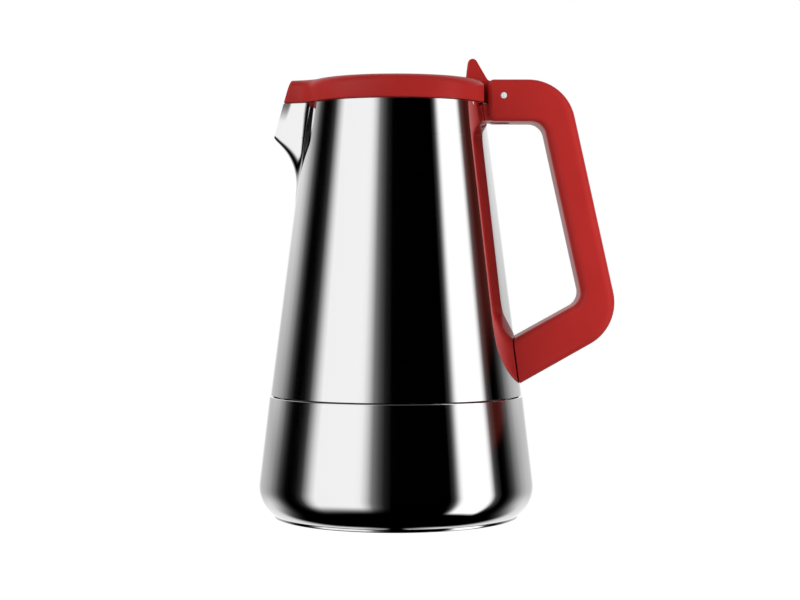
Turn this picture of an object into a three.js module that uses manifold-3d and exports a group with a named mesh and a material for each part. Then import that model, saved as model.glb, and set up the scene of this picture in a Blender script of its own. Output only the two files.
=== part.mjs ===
// Stovetop coffee maker: a boiler, a coffee funnel, a screw-on collector with a spout, a side handle
// and a hinged lid. Millimetres, +Z up. The origin is where the pot's axis meets the surface it stands
// on. The spout points to -X and the handle to +X, and the safety valve is at the back, towards +Y.

import * as THREE from 'three';
import { ConvexGeometry } from 'three/addons/geometries/ConvexGeometry.js';
import { mergeVertices } from 'three/addons/utils/BufferGeometryUtils.js';
import Module from 'manifold-3d';

const wasm = await Module();
wasm.setup();

// ---------------------------------------------------------------- driving dimensions

const GAP = 0.3; // between pieces that touch
const ROUND = 48; // facets around the large turned pieces
const SMALL_ROUND = 16; // facets around pins, screws and holes

// Base
const CAP_RADIUS = 48.2;
const CAP_HEIGHT = 1.25;
const DIFFUSER_RADIUS = 46.3;
const DIFFUSER_TOP = 5.0;

// Boiler
const BOILER_FOOT = 1.45; // underside of the boiler's outer ring
const BOILER_WALL = 1.2;
const BOILER_TOP = 48.35;
const BOILER_TOP_RADIUS = 50.6;
const BOILER_ROUNDING = 14; // radius of the rounded lower edge
const ROUNDING_CENTRE_R = 40.8;
const ROUNDING_CENTRE_Z = 12.4;
const RECESS_RADIUS = DIFFUSER_RADIUS + GAP;
const NECK_RADIUS = 40.0;
const NECK_INNER_RADIUS = 38.4;
const NECK_TOP = 60.5;

// Thread between the boiler's neck and the collector's cup
const THREAD_PITCH = 3.0;
const THREAD_TURNS = 2.5;
const THREAD_START = 51.0;
const THREAD_STEPS_PER_TURN = 24;
const MALE_CREST_RADIUS = 41.1;
const FEMALE_CREST_RADIUS = 41.5;
const CUP_ROOT_RADIUS = 42.4;

// Collector
const COLLECTOR_BOTTOM = 48.85;
const COLLECTOR_TOP = 164.3;
const COLLECTOR_BOTTOM_RADIUS = 50.2;
const COLLECTOR_TAPER = 0.1302; // loss of radius per millimetre of height
const COLLECTOR_WALL = 1.0;
const CUP_CEILING = 66.3; // underside of the collector's floor
const CUP_WALL = 1.2;
const COLUMN_TOP = 131;

// Spout: a keel line in the middle plane, and sides that rise from it
const KEEL = [[-39.85, 128], [-37.93, 143.23], [-47.5, 148.57], [-48.6, 150.8]];
const SPOUT_APEX = -54; // where the converging sides would meet
const SPOUT_SIDE_SLOPE = 0.467; // gain of half-width per millimetre from the apex
const SPOUT_FLARE = 1.4; // height over which the sides rise from the keel
const SPOUT_KEEL_RADIUS = 0.4;
const SPOUT_WALL = 1.0;
const MOUTH_TOP = [-44.5, 164.5];
const SPOUT_REACH = 51.5; // the drawn-out form runs this far before the mouth is cut
const MOUTH_LEAN = 0.3; // sideways run of the mouth per millimetre of height

// Lid
const LID_BOTTOM = 164.5;
const LID_TOP = 173.62;
const LID_RADIUS = 36.5;
const LID_EDGE_RUN = 4.8; // radial depth of the rounded upper edge
const LID_EDGE_RISE = 4.0;
const LID_BACK = 34.2; // flat at the back, which clears the handle
const LID_WALL = 2.2;
const LID_HOLLOW_RADIUS = 30.5;
const PLUG_RADIUS = 32.6; // ring that fits inside the collector's rim
const PLUG_DEPTH = 3;
const TAB_WIDTH = 8.4; // hinge tab and thumb lever
const LEVER_FRONT = [27.2, LID_TOP - 4];
const LEVER_TIP = [29.2, 186.2, 1.87]; // where its sides would meet, and the rounding there
const LEVER_BACK = [36.3, LID_TOP + 0.4];

// Hinge
const PIN_X = 42.43;
const PIN_Z = 167.16;
const PIN_RADIUS = 1.3;
const KNUCKLE_RADIUS = 4.3;

// Handle
const HANDLE_WIDTH = 22;
const HANDLE_EDGE = 2.2; // rounding of its long edges
const HANDLE_TOP = 173.58;
const HANDLE_BLOCK_BOTTOM = 157.05;
const HANDLE_FRONT = 36.2;
const SLOT_WIDTH = TAB_WIDTH + 1.0;
const SLOT_FLOOR = 160.8;
const SLOT_END = 53.0;
const SCREW_X = 41.5;
const COUNTERBORE_RADIUS = 4.0;
const COUNTERBORE_TOP = 159.6;
const LOWER_TAB_BOTTOM = 61.4;
const LOWER_TAB_TOP = 64.4;
const LOWER_TAB_END = 56;
const BRACKET_WIDTH = 8;
const GRIP_CORNERS = {
  innerTop: [58.03, HANDLE_BLOCK_BOTTOM, 6.1],
  innerBottom: [73.74, 86.36, 6.2],
  armTop: [42, 68.75],
  armBottom: [44, 50.56],
  outerBottom: [89.1, 76.0, 18.8],
  outerTop: [67.35, HANDLE_TOP, 18.7],
};

// Funnel and seals
const FUNNEL_RIM_RADIUS = 40.0;
const FUNNEL_RIM_TOP = 61.5;
const BASKET_RADIUS = 36.0;
const BASKET_FLOOR = 38.0;
const FUNNEL_WALL = 0.9;
const TUBE_RADIUS = 4.9;
const TUBE_BOTTOM = 12;
const SEAL_RADIUS = 41.0;
const SEAL_INNER_RADIUS = 33.5;
const SIEVE_HOLE_RADIUS = 1.2;
const CONE_HOLE_RADIUS = 5.3; // where the column stands on the collector's floor

// Safety valve, on an axis along +Y
const VALVE_HEIGHT = 30;
const BOSS_FACE = 54.3; // distance of the boss's flat face from the pot's axis
const BOSS_RADIUS = 8.5;
const VALVE_SHANK_RADIUS = 4.9;
const VALVE_HOLE_RADIUS = 5.2;
const HEX_RADIUS = 7.5; // across corners, halved
const NOSE_RADIUS = 4.6;
const SPRING_SPACE_RADIUS = 3.3;
const STEM_RADIUS = 1.0;
const STEM_HOLE_RADIUS = 1.35;
const SPRING_RADIUS = 2.25;
const SPRING_WIRE_RADIUS = 0.35;
const SPRING_FACETS = 5;

// ---------------------------------------------------------------- materials

const polishedSteel = material(0xd4d6d8, 0.08, 1.0);
const plainSteel = material(0xb9bcbf, 0.3, 1.0);
const aluminium = material(0xc6c8ca, 0.45, 1.0);
const brass = material(0xb8923f, 0.3, 1.0);
const silicone = material(0xe6e4dc, 0.6, 0.0);
const redNylon = material(0xb22f2e, 0.4, 0.0);

/** A standard material of one colour. */
function material(color, roughness, metalness) {
  return new THREE.MeshStandardMaterial({ color, roughness, metalness });
}

// ---------------------------------------------------------------- joining and cutting

/** A closed geometry as a solid that can be joined and cut. */
function toSolid(geometry) {
  const bare = geometry.clone();
  bare.deleteAttribute('normal');
  bare.deleteAttribute('uv');
  const merged = mergeVertices(bare);
  const corners = merged.index.array;
  const triVerts = [];
  for (let i = 0; i < corners.length; i += 3) {
    const [a, b, c] = [corners[i], corners[i + 1], corners[i + 2]];
    if (a !== b && b !== c && c !== a) {
      triVerts.push(a, b, c);
    }
  }
  return new wasm.Manifold(new wasm.Mesh({
    numProp: 3,
    vertProperties: new Float32Array(merged.attributes.position.array),
    triVerts: new Uint32Array(triVerts),
  }));
}

/** A solid as a geometry. */
function toGeometry(solid) {
  const { vertProperties, triVerts } = solid.getMesh();
  const geometry = new THREE.BufferGeometry();
  geometry.setAttribute('position', new THREE.BufferAttribute(vertProperties, 3));
  geometry.setIndex(new THREE.BufferAttribute(triVerts, 1));
  geometry.computeVertexNormals();
  return geometry;
}

/** The union of the shapes. */
function join(...shapes) {
  return toGeometry(shapes.map(toSolid).reduce((whole, part) => whole.add(part)));
}

/** The shape with the tools cut out of it. */
function cut(shape, ...tools) {
  return toGeometry(tools.map(toSolid).reduce((whole, tool) => whole.subtract(tool), toSolid(shape)));
}

/** What the two shapes have in common. */
function common(shape, other) {
  return toGeometry(toSolid(shape).intersect(toSolid(other)));
}

// ---------------------------------------------------------------- basic forms

/** A profile of [radius, height] points turned about Z. It runs up its outside and down its inside. */
function turned(profile, facets = ROUND) {
  const points = profile.map(([radius, height]) => new THREE.Vector2(radius, height));
  return new THREE.LatheGeometry(points, facets).rotateX(Math.PI / 2);
}

/** A turned ring: its closed profile returns to its first point. */
function ring(profile, facets = ROUND) {
  return turned([...profile, profile[0]], facets);
}

/** Points of an arc in a profile, from one angle to another, in degrees. */
function arc(centreR, centreZ, radius, from, to, steps) {
  return Array.from({ length: steps + 1 }, (_, i) => {
    const angle = THREE.MathUtils.degToRad(from + ((to - from) * i) / steps);
    return [centreR + radius * Math.cos(angle), centreZ + radius * Math.sin(angle)];
  });
}

/** An upright round bar, or a hexagonal one when it has six facets. */
function rod(radius, bottom, top, facets = SMALL_ROUND) {
  const bar = new THREE.CylinderGeometry(radius, radius, top - bottom, facets);
  return bar.rotateX(Math.PI / 2).translate(0, 0, (bottom + top) / 2);
}

/** A box between two corners. */
function block([x0, y0, z0], [x1, y1, z1]) {
  const box = new THREE.BoxGeometry(x1 - x0, y1 - y0, z1 - z0);
  return box.translate((x0 + x1) / 2, (y0 + y1) / 2, (z0 + z1) / 2);
}

/** An outline through corners of [x, y, rounding], with each rounding as an arc. */
function outline(corners) {
  const shape = new THREE.Shape();
  corners.forEach(([x, y, rounding = 0], i) => {
    const corner = new THREE.Vector2(x, y);
    const before = new THREE.Vector2(...corners.at(i - 1)).sub(corner).normalize();
    const after = new THREE.Vector2(...corners[(i + 1) % corners.length]).sub(corner).normalize();
    const half = Math.acos(before.dot(after)) / 2;
    const start = before.clone().multiplyScalar(rounding / Math.tan(half)).add(corner);
    const end = after.clone().multiplyScalar(rounding / Math.tan(half)).add(corner);
    if (i === 0) {
      shape.moveTo(start.x, start.y);
    } else {
      shape.lineTo(start.x, start.y);
    }
    if (rounding > 0) {
      const inwards = before.clone().add(after).normalize();
      const centre = inwards.multiplyScalar(rounding / Math.sin(half)).add(corner);
      const [from, to] = [start.sub(centre).angle(), end.sub(centre).angle()];
      const clockwise = before.cross(after) > 0;
      shape.absarc(centre.x, centre.y, rounding, from, to, clockwise);
    }
  });
  return shape;
}

/** A shape extruded upwards from one height to another, with the edges of both faces rounded. */
function upright(shape, bottom, top, edge = 0, curveSegments = 4) {
  const geometry = new THREE.ExtrudeGeometry(shape, {
    depth: top - bottom - 2 * edge,
    bevelEnabled: edge > 0,
    bevelThickness: edge,
    bevelSize: edge,
    bevelOffset: -edge,
    bevelSegments: 3,
    curveSegments,
  });
  return geometry.translate(0, 0, bottom + edge);
}

/** A shape drawn in X and Z, extruded along Y about the middle plane, with rounded long edges. */
function sideways(shape, width, edge = 0) {
  return upright(shape, -width / 2, width / 2, edge).rotateX(Math.PI / 2);
}

/** A section of [radius, height] points carried up a helix about Z, from its first turn's height. */
function helix(section, pitch, turns, stepsPerTurn, bottom) {
  const shape = new THREE.Shape(section.map(([radius, height]) => new THREE.Vector2(radius, height)));
  const options = { depth: 1, steps: Math.round(turns * stepsPerTurn), bevelEnabled: false };
  const geometry = new THREE.ExtrudeGeometry(shape, options);
  const points = geometry.attributes.position;
  for (let i = 0; i < points.count; i += 1) {
    const turn = turns * (1 - points.getZ(i));
    const angle = 2 * Math.PI * turn;
    const radius = points.getX(i);
    const height = bottom + points.getY(i) + pitch * turn;
    points.setXYZ(i, radius * Math.cos(angle), radius * Math.sin(angle), height);
  }
  return geometry;
}

/** A disc with rings of holes in it. */
function perforatedDisc(radius, bottom, top, holeRadius, ringSpacing, rings) {
  const disc = new THREE.Shape().absarc(0, 0, radius, 0, 2 * Math.PI);
  for (let i = 0; i <= rings; i += 1) {
    const count = Math.max(1, 6 * i);
    for (let k = 0; k < count; k += 1) {
      const angle = (2 * Math.PI * k) / count;
      const [x, y] = [ringSpacing * i * Math.cos(angle), ringSpacing * i * Math.sin(angle)];
      const corners = Array.from({ length: 6 }, (_, j) => new THREE.Vector2(
        x + holeRadius * Math.cos((Math.PI * j) / 3),
        y + holeRadius * Math.sin((Math.PI * j) / 3),
      ));
      disc.holes.push(new THREE.Path(corners));
    }
  }
  return upright(disc, bottom, top, 0, 12);
}

/** A named piece of the pot. */
function piece(name, geometry, finish) {
  const mesh = new THREE.Mesh(geometry, finish);
  mesh.name = name;
  return mesh;
}

// ---------------------------------------------------------------- base and boiler

/** Pressed steel cap that closes the base, with shallow rings in its underside. */
function baseCap() {
  const groove = (radius) => [[radius, 0], [radius + 0.6, 0.35], [radius + 1.4, 0.35], [radius + 2, 0]];
  return turned([
    [0, 0],
    ...groove(18),
    ...groove(32),
    [CAP_RADIUS - 0.5, 0],
    [CAP_RADIUS, 0.4],
    [CAP_RADIUS, CAP_HEIGHT],
    [0, CAP_HEIGHT],
  ]);
}

/** Aluminium disc that spreads the heat, between the cap and the boiler's floor. */
function diffuserDisc() {
  const bottom = CAP_HEIGHT + 0.2;
  return turned([[0, bottom], [DIFFUSER_RADIUS, bottom], [DIFFUSER_RADIUS, DIFFUSER_TOP], [0, DIFFUSER_TOP]]);
}

/** Pressed boiler: recessed floor, rounded lower edge, conical wall, shoulder and threaded neck. */
function boiler() {
  const floor = DIFFUSER_TOP + 0.2;
  const outerStart = THREE.MathUtils.radToDeg(
    Math.asin((BOILER_FOOT - ROUNDING_CENTRE_Z) / BOILER_ROUNDING));
  const innerFoot = BOILER_FOOT + BOILER_WALL;
  const innerRounding = BOILER_ROUNDING - BOILER_WALL;
  const innerStart = THREE.MathUtils.radToDeg(Math.asin((innerFoot - ROUNDING_CENTRE_Z) / innerRounding));
  const lean = 7; // degrees, where the rounding runs into the cone
  const shell = turned([
    [0, floor],
    [RECESS_RADIUS, floor],
    [RECESS_RADIUS, BOILER_FOOT],
    ...arc(ROUNDING_CENTRE_R, ROUNDING_CENTRE_Z, BOILER_ROUNDING, outerStart, lean, 6),
    [BOILER_TOP_RADIUS, BOILER_TOP - 0.4],
    [BOILER_TOP_RADIUS - 0.4, BOILER_TOP],
    [NECK_RADIUS + 0.8, BOILER_TOP],
    [NECK_RADIUS, BOILER_TOP + 0.8],
    [NECK_RADIUS, NECK_TOP],
    [NECK_INNER_RADIUS, NECK_TOP],
    [NECK_INNER_RADIUS, BOILER_TOP - BOILER_WALL],
    [BOILER_TOP_RADIUS - BOILER_WALL, BOILER_TOP - BOILER_WALL],
    ...arc(ROUNDING_CENTRE_R, ROUNDING_CENTRE_Z, innerRounding, lean, innerStart, 5),
    [RECESS_RADIUS + BOILER_WALL, innerFoot],
    [RECESS_RADIUS + BOILER_WALL, floor + BOILER_WALL],
    [0, floor + BOILER_WALL],
  ]);
  const rib = [
    [NECK_RADIUS - 0.6, -0.9],
    [MALE_CREST_RADIUS, -0.3],
    [MALE_CREST_RADIUS, 0.3],
    [NECK_RADIUS - 0.6, 0.9],
  ];
  const thread = helix(rib, THREAD_PITCH, THREAD_TURNS, THREAD_STEPS_PER_TURN, THREAD_START);
  const boss = rod(BOSS_RADIUS, BOSS_FACE - 2.4, BOSS_FACE, 24).rotateX(-Math.PI / 2);
  const hole = rod(VALVE_HOLE_RADIUS, BOSS_FACE - 8, BOSS_FACE + 8).rotateX(-Math.PI / 2);
  boss.translate(0, 0, VALVE_HEIGHT);
  hole.translate(0, 0, VALVE_HEIGHT);
  return cut(join(shell, thread, boss), hole);
}

// ---------------------------------------------------------------- safety valve

/** Brass valve body: threaded shank, hexagon and nose, bored through for the stem. */
function valveBody() {
  const solid = join(
    rod(VALVE_SHANK_RADIUS, -8.2, 1.2),
    rod(HEX_RADIUS, 1.0, 5.0, 6),
    rod(NOSE_RADIUS, 4.8, 9.0),
  );
  return cut(solid, rod(1.5, -9, -5), rod(SPRING_SPACE_RADIUS, -6.2, 10));
}

/** Flat sealing ring between the hexagon and the boiler's boss. */
function valveWasher() {
  const [outer, inner] = [BOSS_RADIUS - 1.6, VALVE_HOLE_RADIUS];
  return ring([[outer, 0.15], [outer, 0.85], [inner, 0.85], [inner, 0.15]], 24);
}

/** Hexagonal nut that holds the valve from inside the boiler. */
function valveNut() {
  return cut(rod(HEX_RADIUS + 0.3, -7.2, -4.2, 6), rod(VALVE_HOLE_RADIUS, -8, -3));
}

/** Stem with the disc that closes the valve's seat; its tip stands out of the nose. */
function valveStem() {
  return join(rod(SPRING_SPACE_RADIUS - 0.4, -6.0, -4.8), rod(STEM_RADIUS, -5.0, 11.0, 12));
}

/** Compression spring around the stem. */
function valveSpring() {
  const wire = Array.from({ length: SPRING_FACETS }, (_, i) => {
    const angle = (2 * Math.PI * i) / SPRING_FACETS;
    return [SPRING_RADIUS + SPRING_WIRE_RADIUS * Math.cos(angle), SPRING_WIRE_RADIUS * Math.sin(angle)];
  });
  return helix(wire, 1.8, 6, 12, -4.2);
}

/** Threaded ring that keeps the spring in the nose. */
function valveRetainer() {
  const [outer, inner] = [SPRING_SPACE_RADIUS - 0.2, STEM_HOLE_RADIUS];
  return ring([[outer, 7.3], [outer, 8.8], [inner, 8.8], [inner, 7.3]], SMALL_ROUND);
}

/** The valve's pieces, drawn along Z and laid down along +Y on the boiler's boss. */
function safetyValve() {
  const valve = new THREE.Group();
  valve.add(
    piece('valve_body', valveBody(), brass),
    piece('valve_washer', valveWasher(), silicone),
    piece('valve_nut', valveNut(), brass),
    piece('valve_stem', valveStem(), brass),
    piece('valve_spring', valveSpring(), plainSteel),
    piece('valve_retainer', valveRetainer(), brass),
  );
  valve.rotation.x = -Math.PI / 2;
  valve.position.set(0, BOSS_FACE, VALVE_HEIGHT);
  return valve;
}

// ---------------------------------------------------------------- funnel and seals

/** Coffee funnel: rim, basket, cone and tube in one pressed piece. */
function funnel() {
  const inner = BASKET_RADIUS - FUNNEL_WALL;
  const bore = TUBE_RADIUS - FUNNEL_WALL;
  return ring([
    [TUBE_RADIUS, TUBE_BOTTOM],
    [TUBE_RADIUS, BASKET_FLOOR - 8.5],
    [TUBE_RADIUS + 1.2, BASKET_FLOOR - 7],
    [BASKET_RADIUS - 2, BASKET_FLOOR],
    [BASKET_RADIUS, BASKET_FLOOR + 2.5],
    [BASKET_RADIUS, FUNNEL_RIM_TOP - 0.8],
    [FUNNEL_RIM_RADIUS, FUNNEL_RIM_TOP - 0.8],
    [FUNNEL_RIM_RADIUS, FUNNEL_RIM_TOP],
    [inner, FUNNEL_RIM_TOP],
    [inner, BASKET_FLOOR + 2.9],
    [BASKET_RADIUS - 2.4, BASKET_FLOOR + 1],
    [bore + 1.3, BASKET_FLOOR - 6.1],
    [bore, BASKET_FLOOR - 8],
    [bore, TUBE_BOTTOM],
  ]);
}

/** Perforated plate at the bottom of the basket. */
function funnelSieve() {
  const [radius, bottom] = [BASKET_RADIUS - FUNNEL_WALL - GAP, BASKET_FLOOR + 3.2];
  return perforatedDisc(radius, bottom, bottom + 0.8, SIEVE_HOLE_RADIUS, 13, 2);
}

/** Silicone ring that seals the funnel's rim and the neck against the collector. */
function gasket() {
  const [bottom, top] = [FUNNEL_RIM_TOP + 0.2, CUP_CEILING - 1.3];
  return ring([
    [SEAL_RADIUS, bottom],
    [SEAL_RADIUS, top],
    [SEAL_INNER_RADIUS, top],
    [SEAL_INNER_RADIUS, bottom],
  ]);
}

/** Perforated plate above the gasket. */
function filterPlate() {
  return perforatedDisc(SEAL_RADIUS, CUP_CEILING - 1.1, CUP_CEILING - GAP, SIEVE_HOLE_RADIUS, 12, 2);
}

// ---------------------------------------------------------------- collector

/** Outer radius of the collector at a height. */
function collectorRadius(height) {
  return COLLECTOR_BOTTOM_RADIUS - (height - COLLECTOR_BOTTOM) * COLLECTOR_TAPER;
}

/** A solid cone that follows the collector's wall at a distance, between two heights. */
function collectorCone(offset, bottom, top) {
  const [lower, upper] = [collectorRadius(bottom) + offset, collectorRadius(top) + offset];
  return turned([[0, bottom], [lower, bottom], [upper, top], [0, top]]);
}

/** Half of the spout's width at a place along it and a height above its keel. */
function spoutHalfWidth(x, height) {
  const opening = Math.tanh(Math.sqrt(height ** 2 + 2 * SPOUT_KEEL_RADIUS * height) / SPOUT_FLARE);
  return (x - SPOUT_APEX) * SPOUT_SIDE_SLOPE * opening;
}

/** The spout as a run of convex blocks between sections that stand on the keel line. */
function spoutSolid(sections, inset, top) {
  const corners = sections.map(([x, keelHeight]) => {
    const rises = [0, 0.5, 1.2, 2.4, 4.5].filter((rise) => keelHeight + rise < top - 1);
    const levels = [...rises, top - keelHeight];
    return levels.flatMap((rise) => {
      const half = Math.max(spoutHalfWidth(x, rise + inset) - inset, 0.15);
      return [
        new THREE.Vector3(x, -half, keelHeight + rise),
        new THREE.Vector3(x, half, keelHeight + rise),
      ];
    });
  });
  const blocks = corners.slice(1).map((section, i) => new ConvexGeometry([...corners[i], ...section]));
  return join(...blocks);
}

/** Collector body: conical wall drawn out into an open spout with a leaning mouth. */
function collector() {
  const keel = new THREE.CubicBezierCurve(...KEEL.map(([x, z]) => new THREE.Vector2(x, z)));
  const keelPoints = [0.2, 0.36, 0.52, 0.68, 0.84, 1].map((t) => keel.getPoint(t).toArray());
  const outerSpout = spoutSolid([[-32, 129], ...keelPoints, [-SPOUT_REACH, 153.8]], 0, COLLECTOR_TOP);
  const channelPoints = [0.3, 0.44, 0.58, 0.72, 0.86, 1].map((t) => {
    const [point, along] = [keel.getPoint(t), keel.getTangent(t)];
    return [point.x + SPOUT_WALL * along.y, point.y - SPOUT_WALL * along.x];
  });
  const channel = [[-28, channelPoints[0][1]], ...channelPoints, [-SPOUT_REACH, 155.2]];
  const innerSpout = spoutSolid(channel, SPOUT_WALL, COLLECTOR_TOP + 3);
  const [mouthX, mouthZ] = MOUTH_TOP;
  const mouthLine = (height) => mouthX + (height - mouthZ) * MOUTH_LEAN;
  const aheadOfMouth = sideways(outline([
    [mouthLine(140), 140],
    [mouthLine(172), 172],
    [mouthX - 20, 172],
    [mouthX - 20, 140],
  ]), 40);
  const wall = collectorCone(0, COLLECTOR_BOTTOM, COLLECTOR_TOP);
  const inside = collectorCone(-COLLECTOR_WALL, COLLECTOR_BOTTOM - 1, COLLECTOR_TOP + 1);
  return cut(join(wall, outerSpout), inside, innerSpout, aheadOfMouth);
}

/** Threaded cup inside the collector's skirt; its ceiling is the coffee chamber's floor. */
function threadCup() {
  const floor = CUP_CEILING + CUP_WALL;
  const rim = collectorRadius(floor) - COLLECTOR_WALL - GAP;
  const cup = ring([
    [CUP_ROOT_RADIUS, COLLECTOR_BOTTOM + 0.4],
    [CUP_ROOT_RADIUS + CUP_WALL, COLLECTOR_BOTTOM + 0.4],
    [CUP_ROOT_RADIUS + CUP_WALL, CUP_CEILING],
    [rim, CUP_CEILING],
    [rim, floor],
    [29.6, floor],
    [CONE_HOLE_RADIUS, floor + 5.2],
    [CONE_HOLE_RADIUS, CUP_CEILING + 5.2],
    [30, CUP_CEILING],
    [CUP_ROOT_RADIUS, CUP_CEILING],
  ]);
  const rib = [
    [FEMALE_CREST_RADIUS, 0.3],
    [FEMALE_CREST_RADIUS, -0.3],
    [CUP_ROOT_RADIUS + 0.6, -0.9],
    [CUP_ROOT_RADIUS + 0.6, 0.9],
  ];
  const start = THREAD_START + THREAD_PITCH / 2;
  return join(cup, helix(rib, THREAD_PITCH, THREAD_TURNS - 0.5, THREAD_STEPS_PER_TURN, start));
}

/** Hollow column that carries the coffee up, with an outlet on each side below its cap. */
function column() {
  const bottom = CUP_CEILING + 4.4;
  const flange = bottom + 2.4;
  const tube = ring([
    [5.0, bottom],
    [5.0, flange],
    [7.4, flange],
    [7.4, flange + 0.8],
    [5.0, flange + 0.8],
    [4.6, COLUMN_TOP],
    [3.7, COLUMN_TOP],
    [4.0, bottom],
  ], 24);
  return cut(tube, block([-8, -2.5, COLUMN_TOP - 8.5], [8, 2.5, COLUMN_TOP - 2.5]));
}

/** Domed cap pressed into the top of the column. */
function columnCap() {
  const seat = COLUMN_TOP + 0.2;
  return turned([
    [0, COLUMN_TOP - 1.8],
    [3.3, COLUMN_TOP - 1.8],
    [3.3, seat],
    [5.2, seat],
    [5.2, seat + 1.4],
    [3.6, seat + 3],
    [0, seat + 3.6],
  ], 24);
}

// ---------------------------------------------------------------- handle and its fixings

/** Side handle: top block, grip and lower arm in one moulding, fitted to the collector's wall. */
function handle() {
  const shape = outline([
    [HANDLE_FRONT, HANDLE_TOP, 2.5],
    [HANDLE_FRONT, HANDLE_BLOCK_BOTTOM, 2.5],
    ...Object.values(GRIP_CORNERS),
  ]);
  const slotHalf = SLOT_WIDTH / 2;
  const slot = block([HANDLE_FRONT - 5, -slotHalf, SLOT_FLOOR], [SLOT_END, slotHalf, HANDLE_TOP + 5]);
  const pinHole = rod(PIN_RADIUS + 0.25, -20, 20).rotateX(Math.PI / 2).translate(PIN_X, 0, PIN_Z);
  const counterbore = rod(COUNTERBORE_RADIUS, HANDLE_BLOCK_BOTTOM - 5, COUNTERBORE_TOP, 24);
  const screwHole = rod(1.8, HANDLE_BLOCK_BOTTOM, SLOT_FLOOR + 1);
  counterbore.translate(SCREW_X, 0, 0);
  screwHole.translate(SCREW_X, 0, 0);
  const tabHalf = BRACKET_WIDTH / 2 + GAP;
  const socket = block(
    [40, -tabHalf, LOWER_TAB_BOTTOM - GAP],
    [LOWER_TAB_END + GAP, tabHalf, LOWER_TAB_TOP + GAP],
  );
  const wall = collectorCone(GAP, COLLECTOR_BOTTOM - 3, COLLECTOR_TOP);
  return cut(sideways(shape, HANDLE_WIDTH, HANDLE_EDGE), slot, pinHole, counterbore, screwHole, socket, wall);
}

/** Upper bracket, welded to the wall: a pad and a tongue that lies on the floor of the handle's slot. */
function upperBracket() {
  const [bottom, thickness] = [SLOT_FLOOR + 0.3, 1.4];
  const shape = outline([
    [33, bottom],
    [47, bottom],
    [47, bottom + thickness],
    [37.4, bottom + thickness],
    [36.6, bottom + 3.2],
    [33, bottom + 3.2],
  ]);
  const hole = rod(1.8, bottom - 1, bottom + 4).translate(SCREW_X, 0, 0);
  return cut(sideways(shape, BRACKET_WIDTH), hole, collectorCone(GAP / 2, 150, COLLECTOR_TOP + 2));
}

/** Lower bracket, welded to the wall inside the end of the handle's lower arm. */
function lowerBracket() {
  const half = BRACKET_WIDTH / 2;
  const tab = block([46, -half, LOWER_TAB_BOTTOM], [LOWER_TAB_END, half, LOWER_TAB_TOP]);
  return cut(tab, collectorCone(GAP / 2, 50, 75));
}

/** Screw from under the handle's block into the upper bracket. */
function handleScrew() {
  const head = COUNTERBORE_TOP - 0.2;
  const slotCut = block([-3.5, -0.5, head - 3], [3.5, 0.5, head - 1.2]);
  return cut(join(rod(3.2, head - 1.9, head), rod(1.5, head - 1, SLOT_FLOOR + 1.9)), slotCut)
    .translate(SCREW_X, 0, 0);
}

/** Steel pin through the handle's cheeks and the lid's tab. */
function hingePin() {
  return rod(PIN_RADIUS, -HANDLE_WIDTH / 2, HANDLE_WIDTH / 2).rotateX(Math.PI / 2).translate(PIN_X, 0, PIN_Z);
}

// ---------------------------------------------------------------- lid

/** Moulded lid: round cover, beak over the spout, plug ring, hinge tab and thumb lever. */
function lid() {
  const flat = LID_RADIUS - LID_EDGE_RUN;
  const shoulder = LID_TOP - LID_EDGE_RISE;
  const edge = [0, 22.5, 45, 67.5, 90].map((degrees) => {
    const angle = THREE.MathUtils.degToRad(degrees);
    return [flat + LID_EDGE_RUN * Math.cos(angle), shoulder + LID_EDGE_RISE * Math.sin(angle)];
  });
  const cover = turned([[0, LID_BOTTOM], [LID_RADIUS, LID_BOTTOM], ...edge, [0, LID_TOP]]);
  const back = block([LID_BACK, -30, LID_BOTTOM - 5], [LID_BACK + 10, 30, LID_TOP + 5]);
  const beakPlan = outline([
    [-50, -5.6],
    [-44, -6.8],
    [-37.6, -8.6, 9],
    [-24, -24],
    [-24, 24],
    [-37.6, 8.6, 9],
    [-44, 6.8],
    [-50, 5.6],
  ]);
  const [mouthX, mouthZ] = MOUTH_TOP;
  const beakSide = outline([
    [mouthX, mouthZ],
    [-20, mouthZ],
    [-20, LID_TOP],
    [mouthX + (LID_TOP - mouthZ) * MOUTH_LEAN, LID_TOP],
  ]);
  const beakForm = upright(beakPlan, LID_BOTTOM - 6, LID_TOP, LID_EDGE_RISE);
  const beak = common(beakForm, sideways(beakSide, 60));
  const hollow = turned([
    [0, LID_BOTTOM - 8],
    [LID_HOLLOW_RADIUS, LID_BOTTOM - 8],
    [LID_HOLLOW_RADIUS, LID_TOP - LID_WALL - 1.5],
    [LID_HOLLOW_RADIUS - 2, LID_TOP - LID_WALL],
    [0, LID_TOP - LID_WALL],
  ]);
  const plug = cut(
    collectorCone(PLUG_RADIUS - collectorRadius(LID_BOTTOM), LID_BOTTOM - PLUG_DEPTH, LID_BOTTOM + 1),
    block([-40, -9.5, LID_BOTTOM - 4], [-20, 9.5, LID_BOTTOM]),
  );
  const lever = outline([
    LEVER_FRONT,
    LEVER_TIP,
    LEVER_BACK,
    [PIN_X - 1, PIN_Z + KNUCKLE_RADIUS + 0.3, 2],
    [PIN_X + KNUCKLE_RADIUS, PIN_Z + KNUCKLE_RADIUS, 4.2],
    [PIN_X + KNUCKLE_RADIUS, PIN_Z - KNUCKLE_RADIUS, 4.2],
    [PIN_X - 3, PIN_Z - KNUCKLE_RADIUS, 2],
    [37.6, LID_BOTTOM + 0.4],
    [31, LID_BOTTOM + 0.4],
    [31, LID_TOP - 4],
  ]);
  const pinHole = rod(PIN_RADIUS + 0.3, -20, 20).rotateX(Math.PI / 2).translate(PIN_X, 0, PIN_Z);
  const round = cut(join(cut(cover, back), beak, plug), hollow);
  return cut(join(round, sideways(lever, TAB_WIDTH)), pinHole);
}

// ---------------------------------------------------------------- the pot

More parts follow.
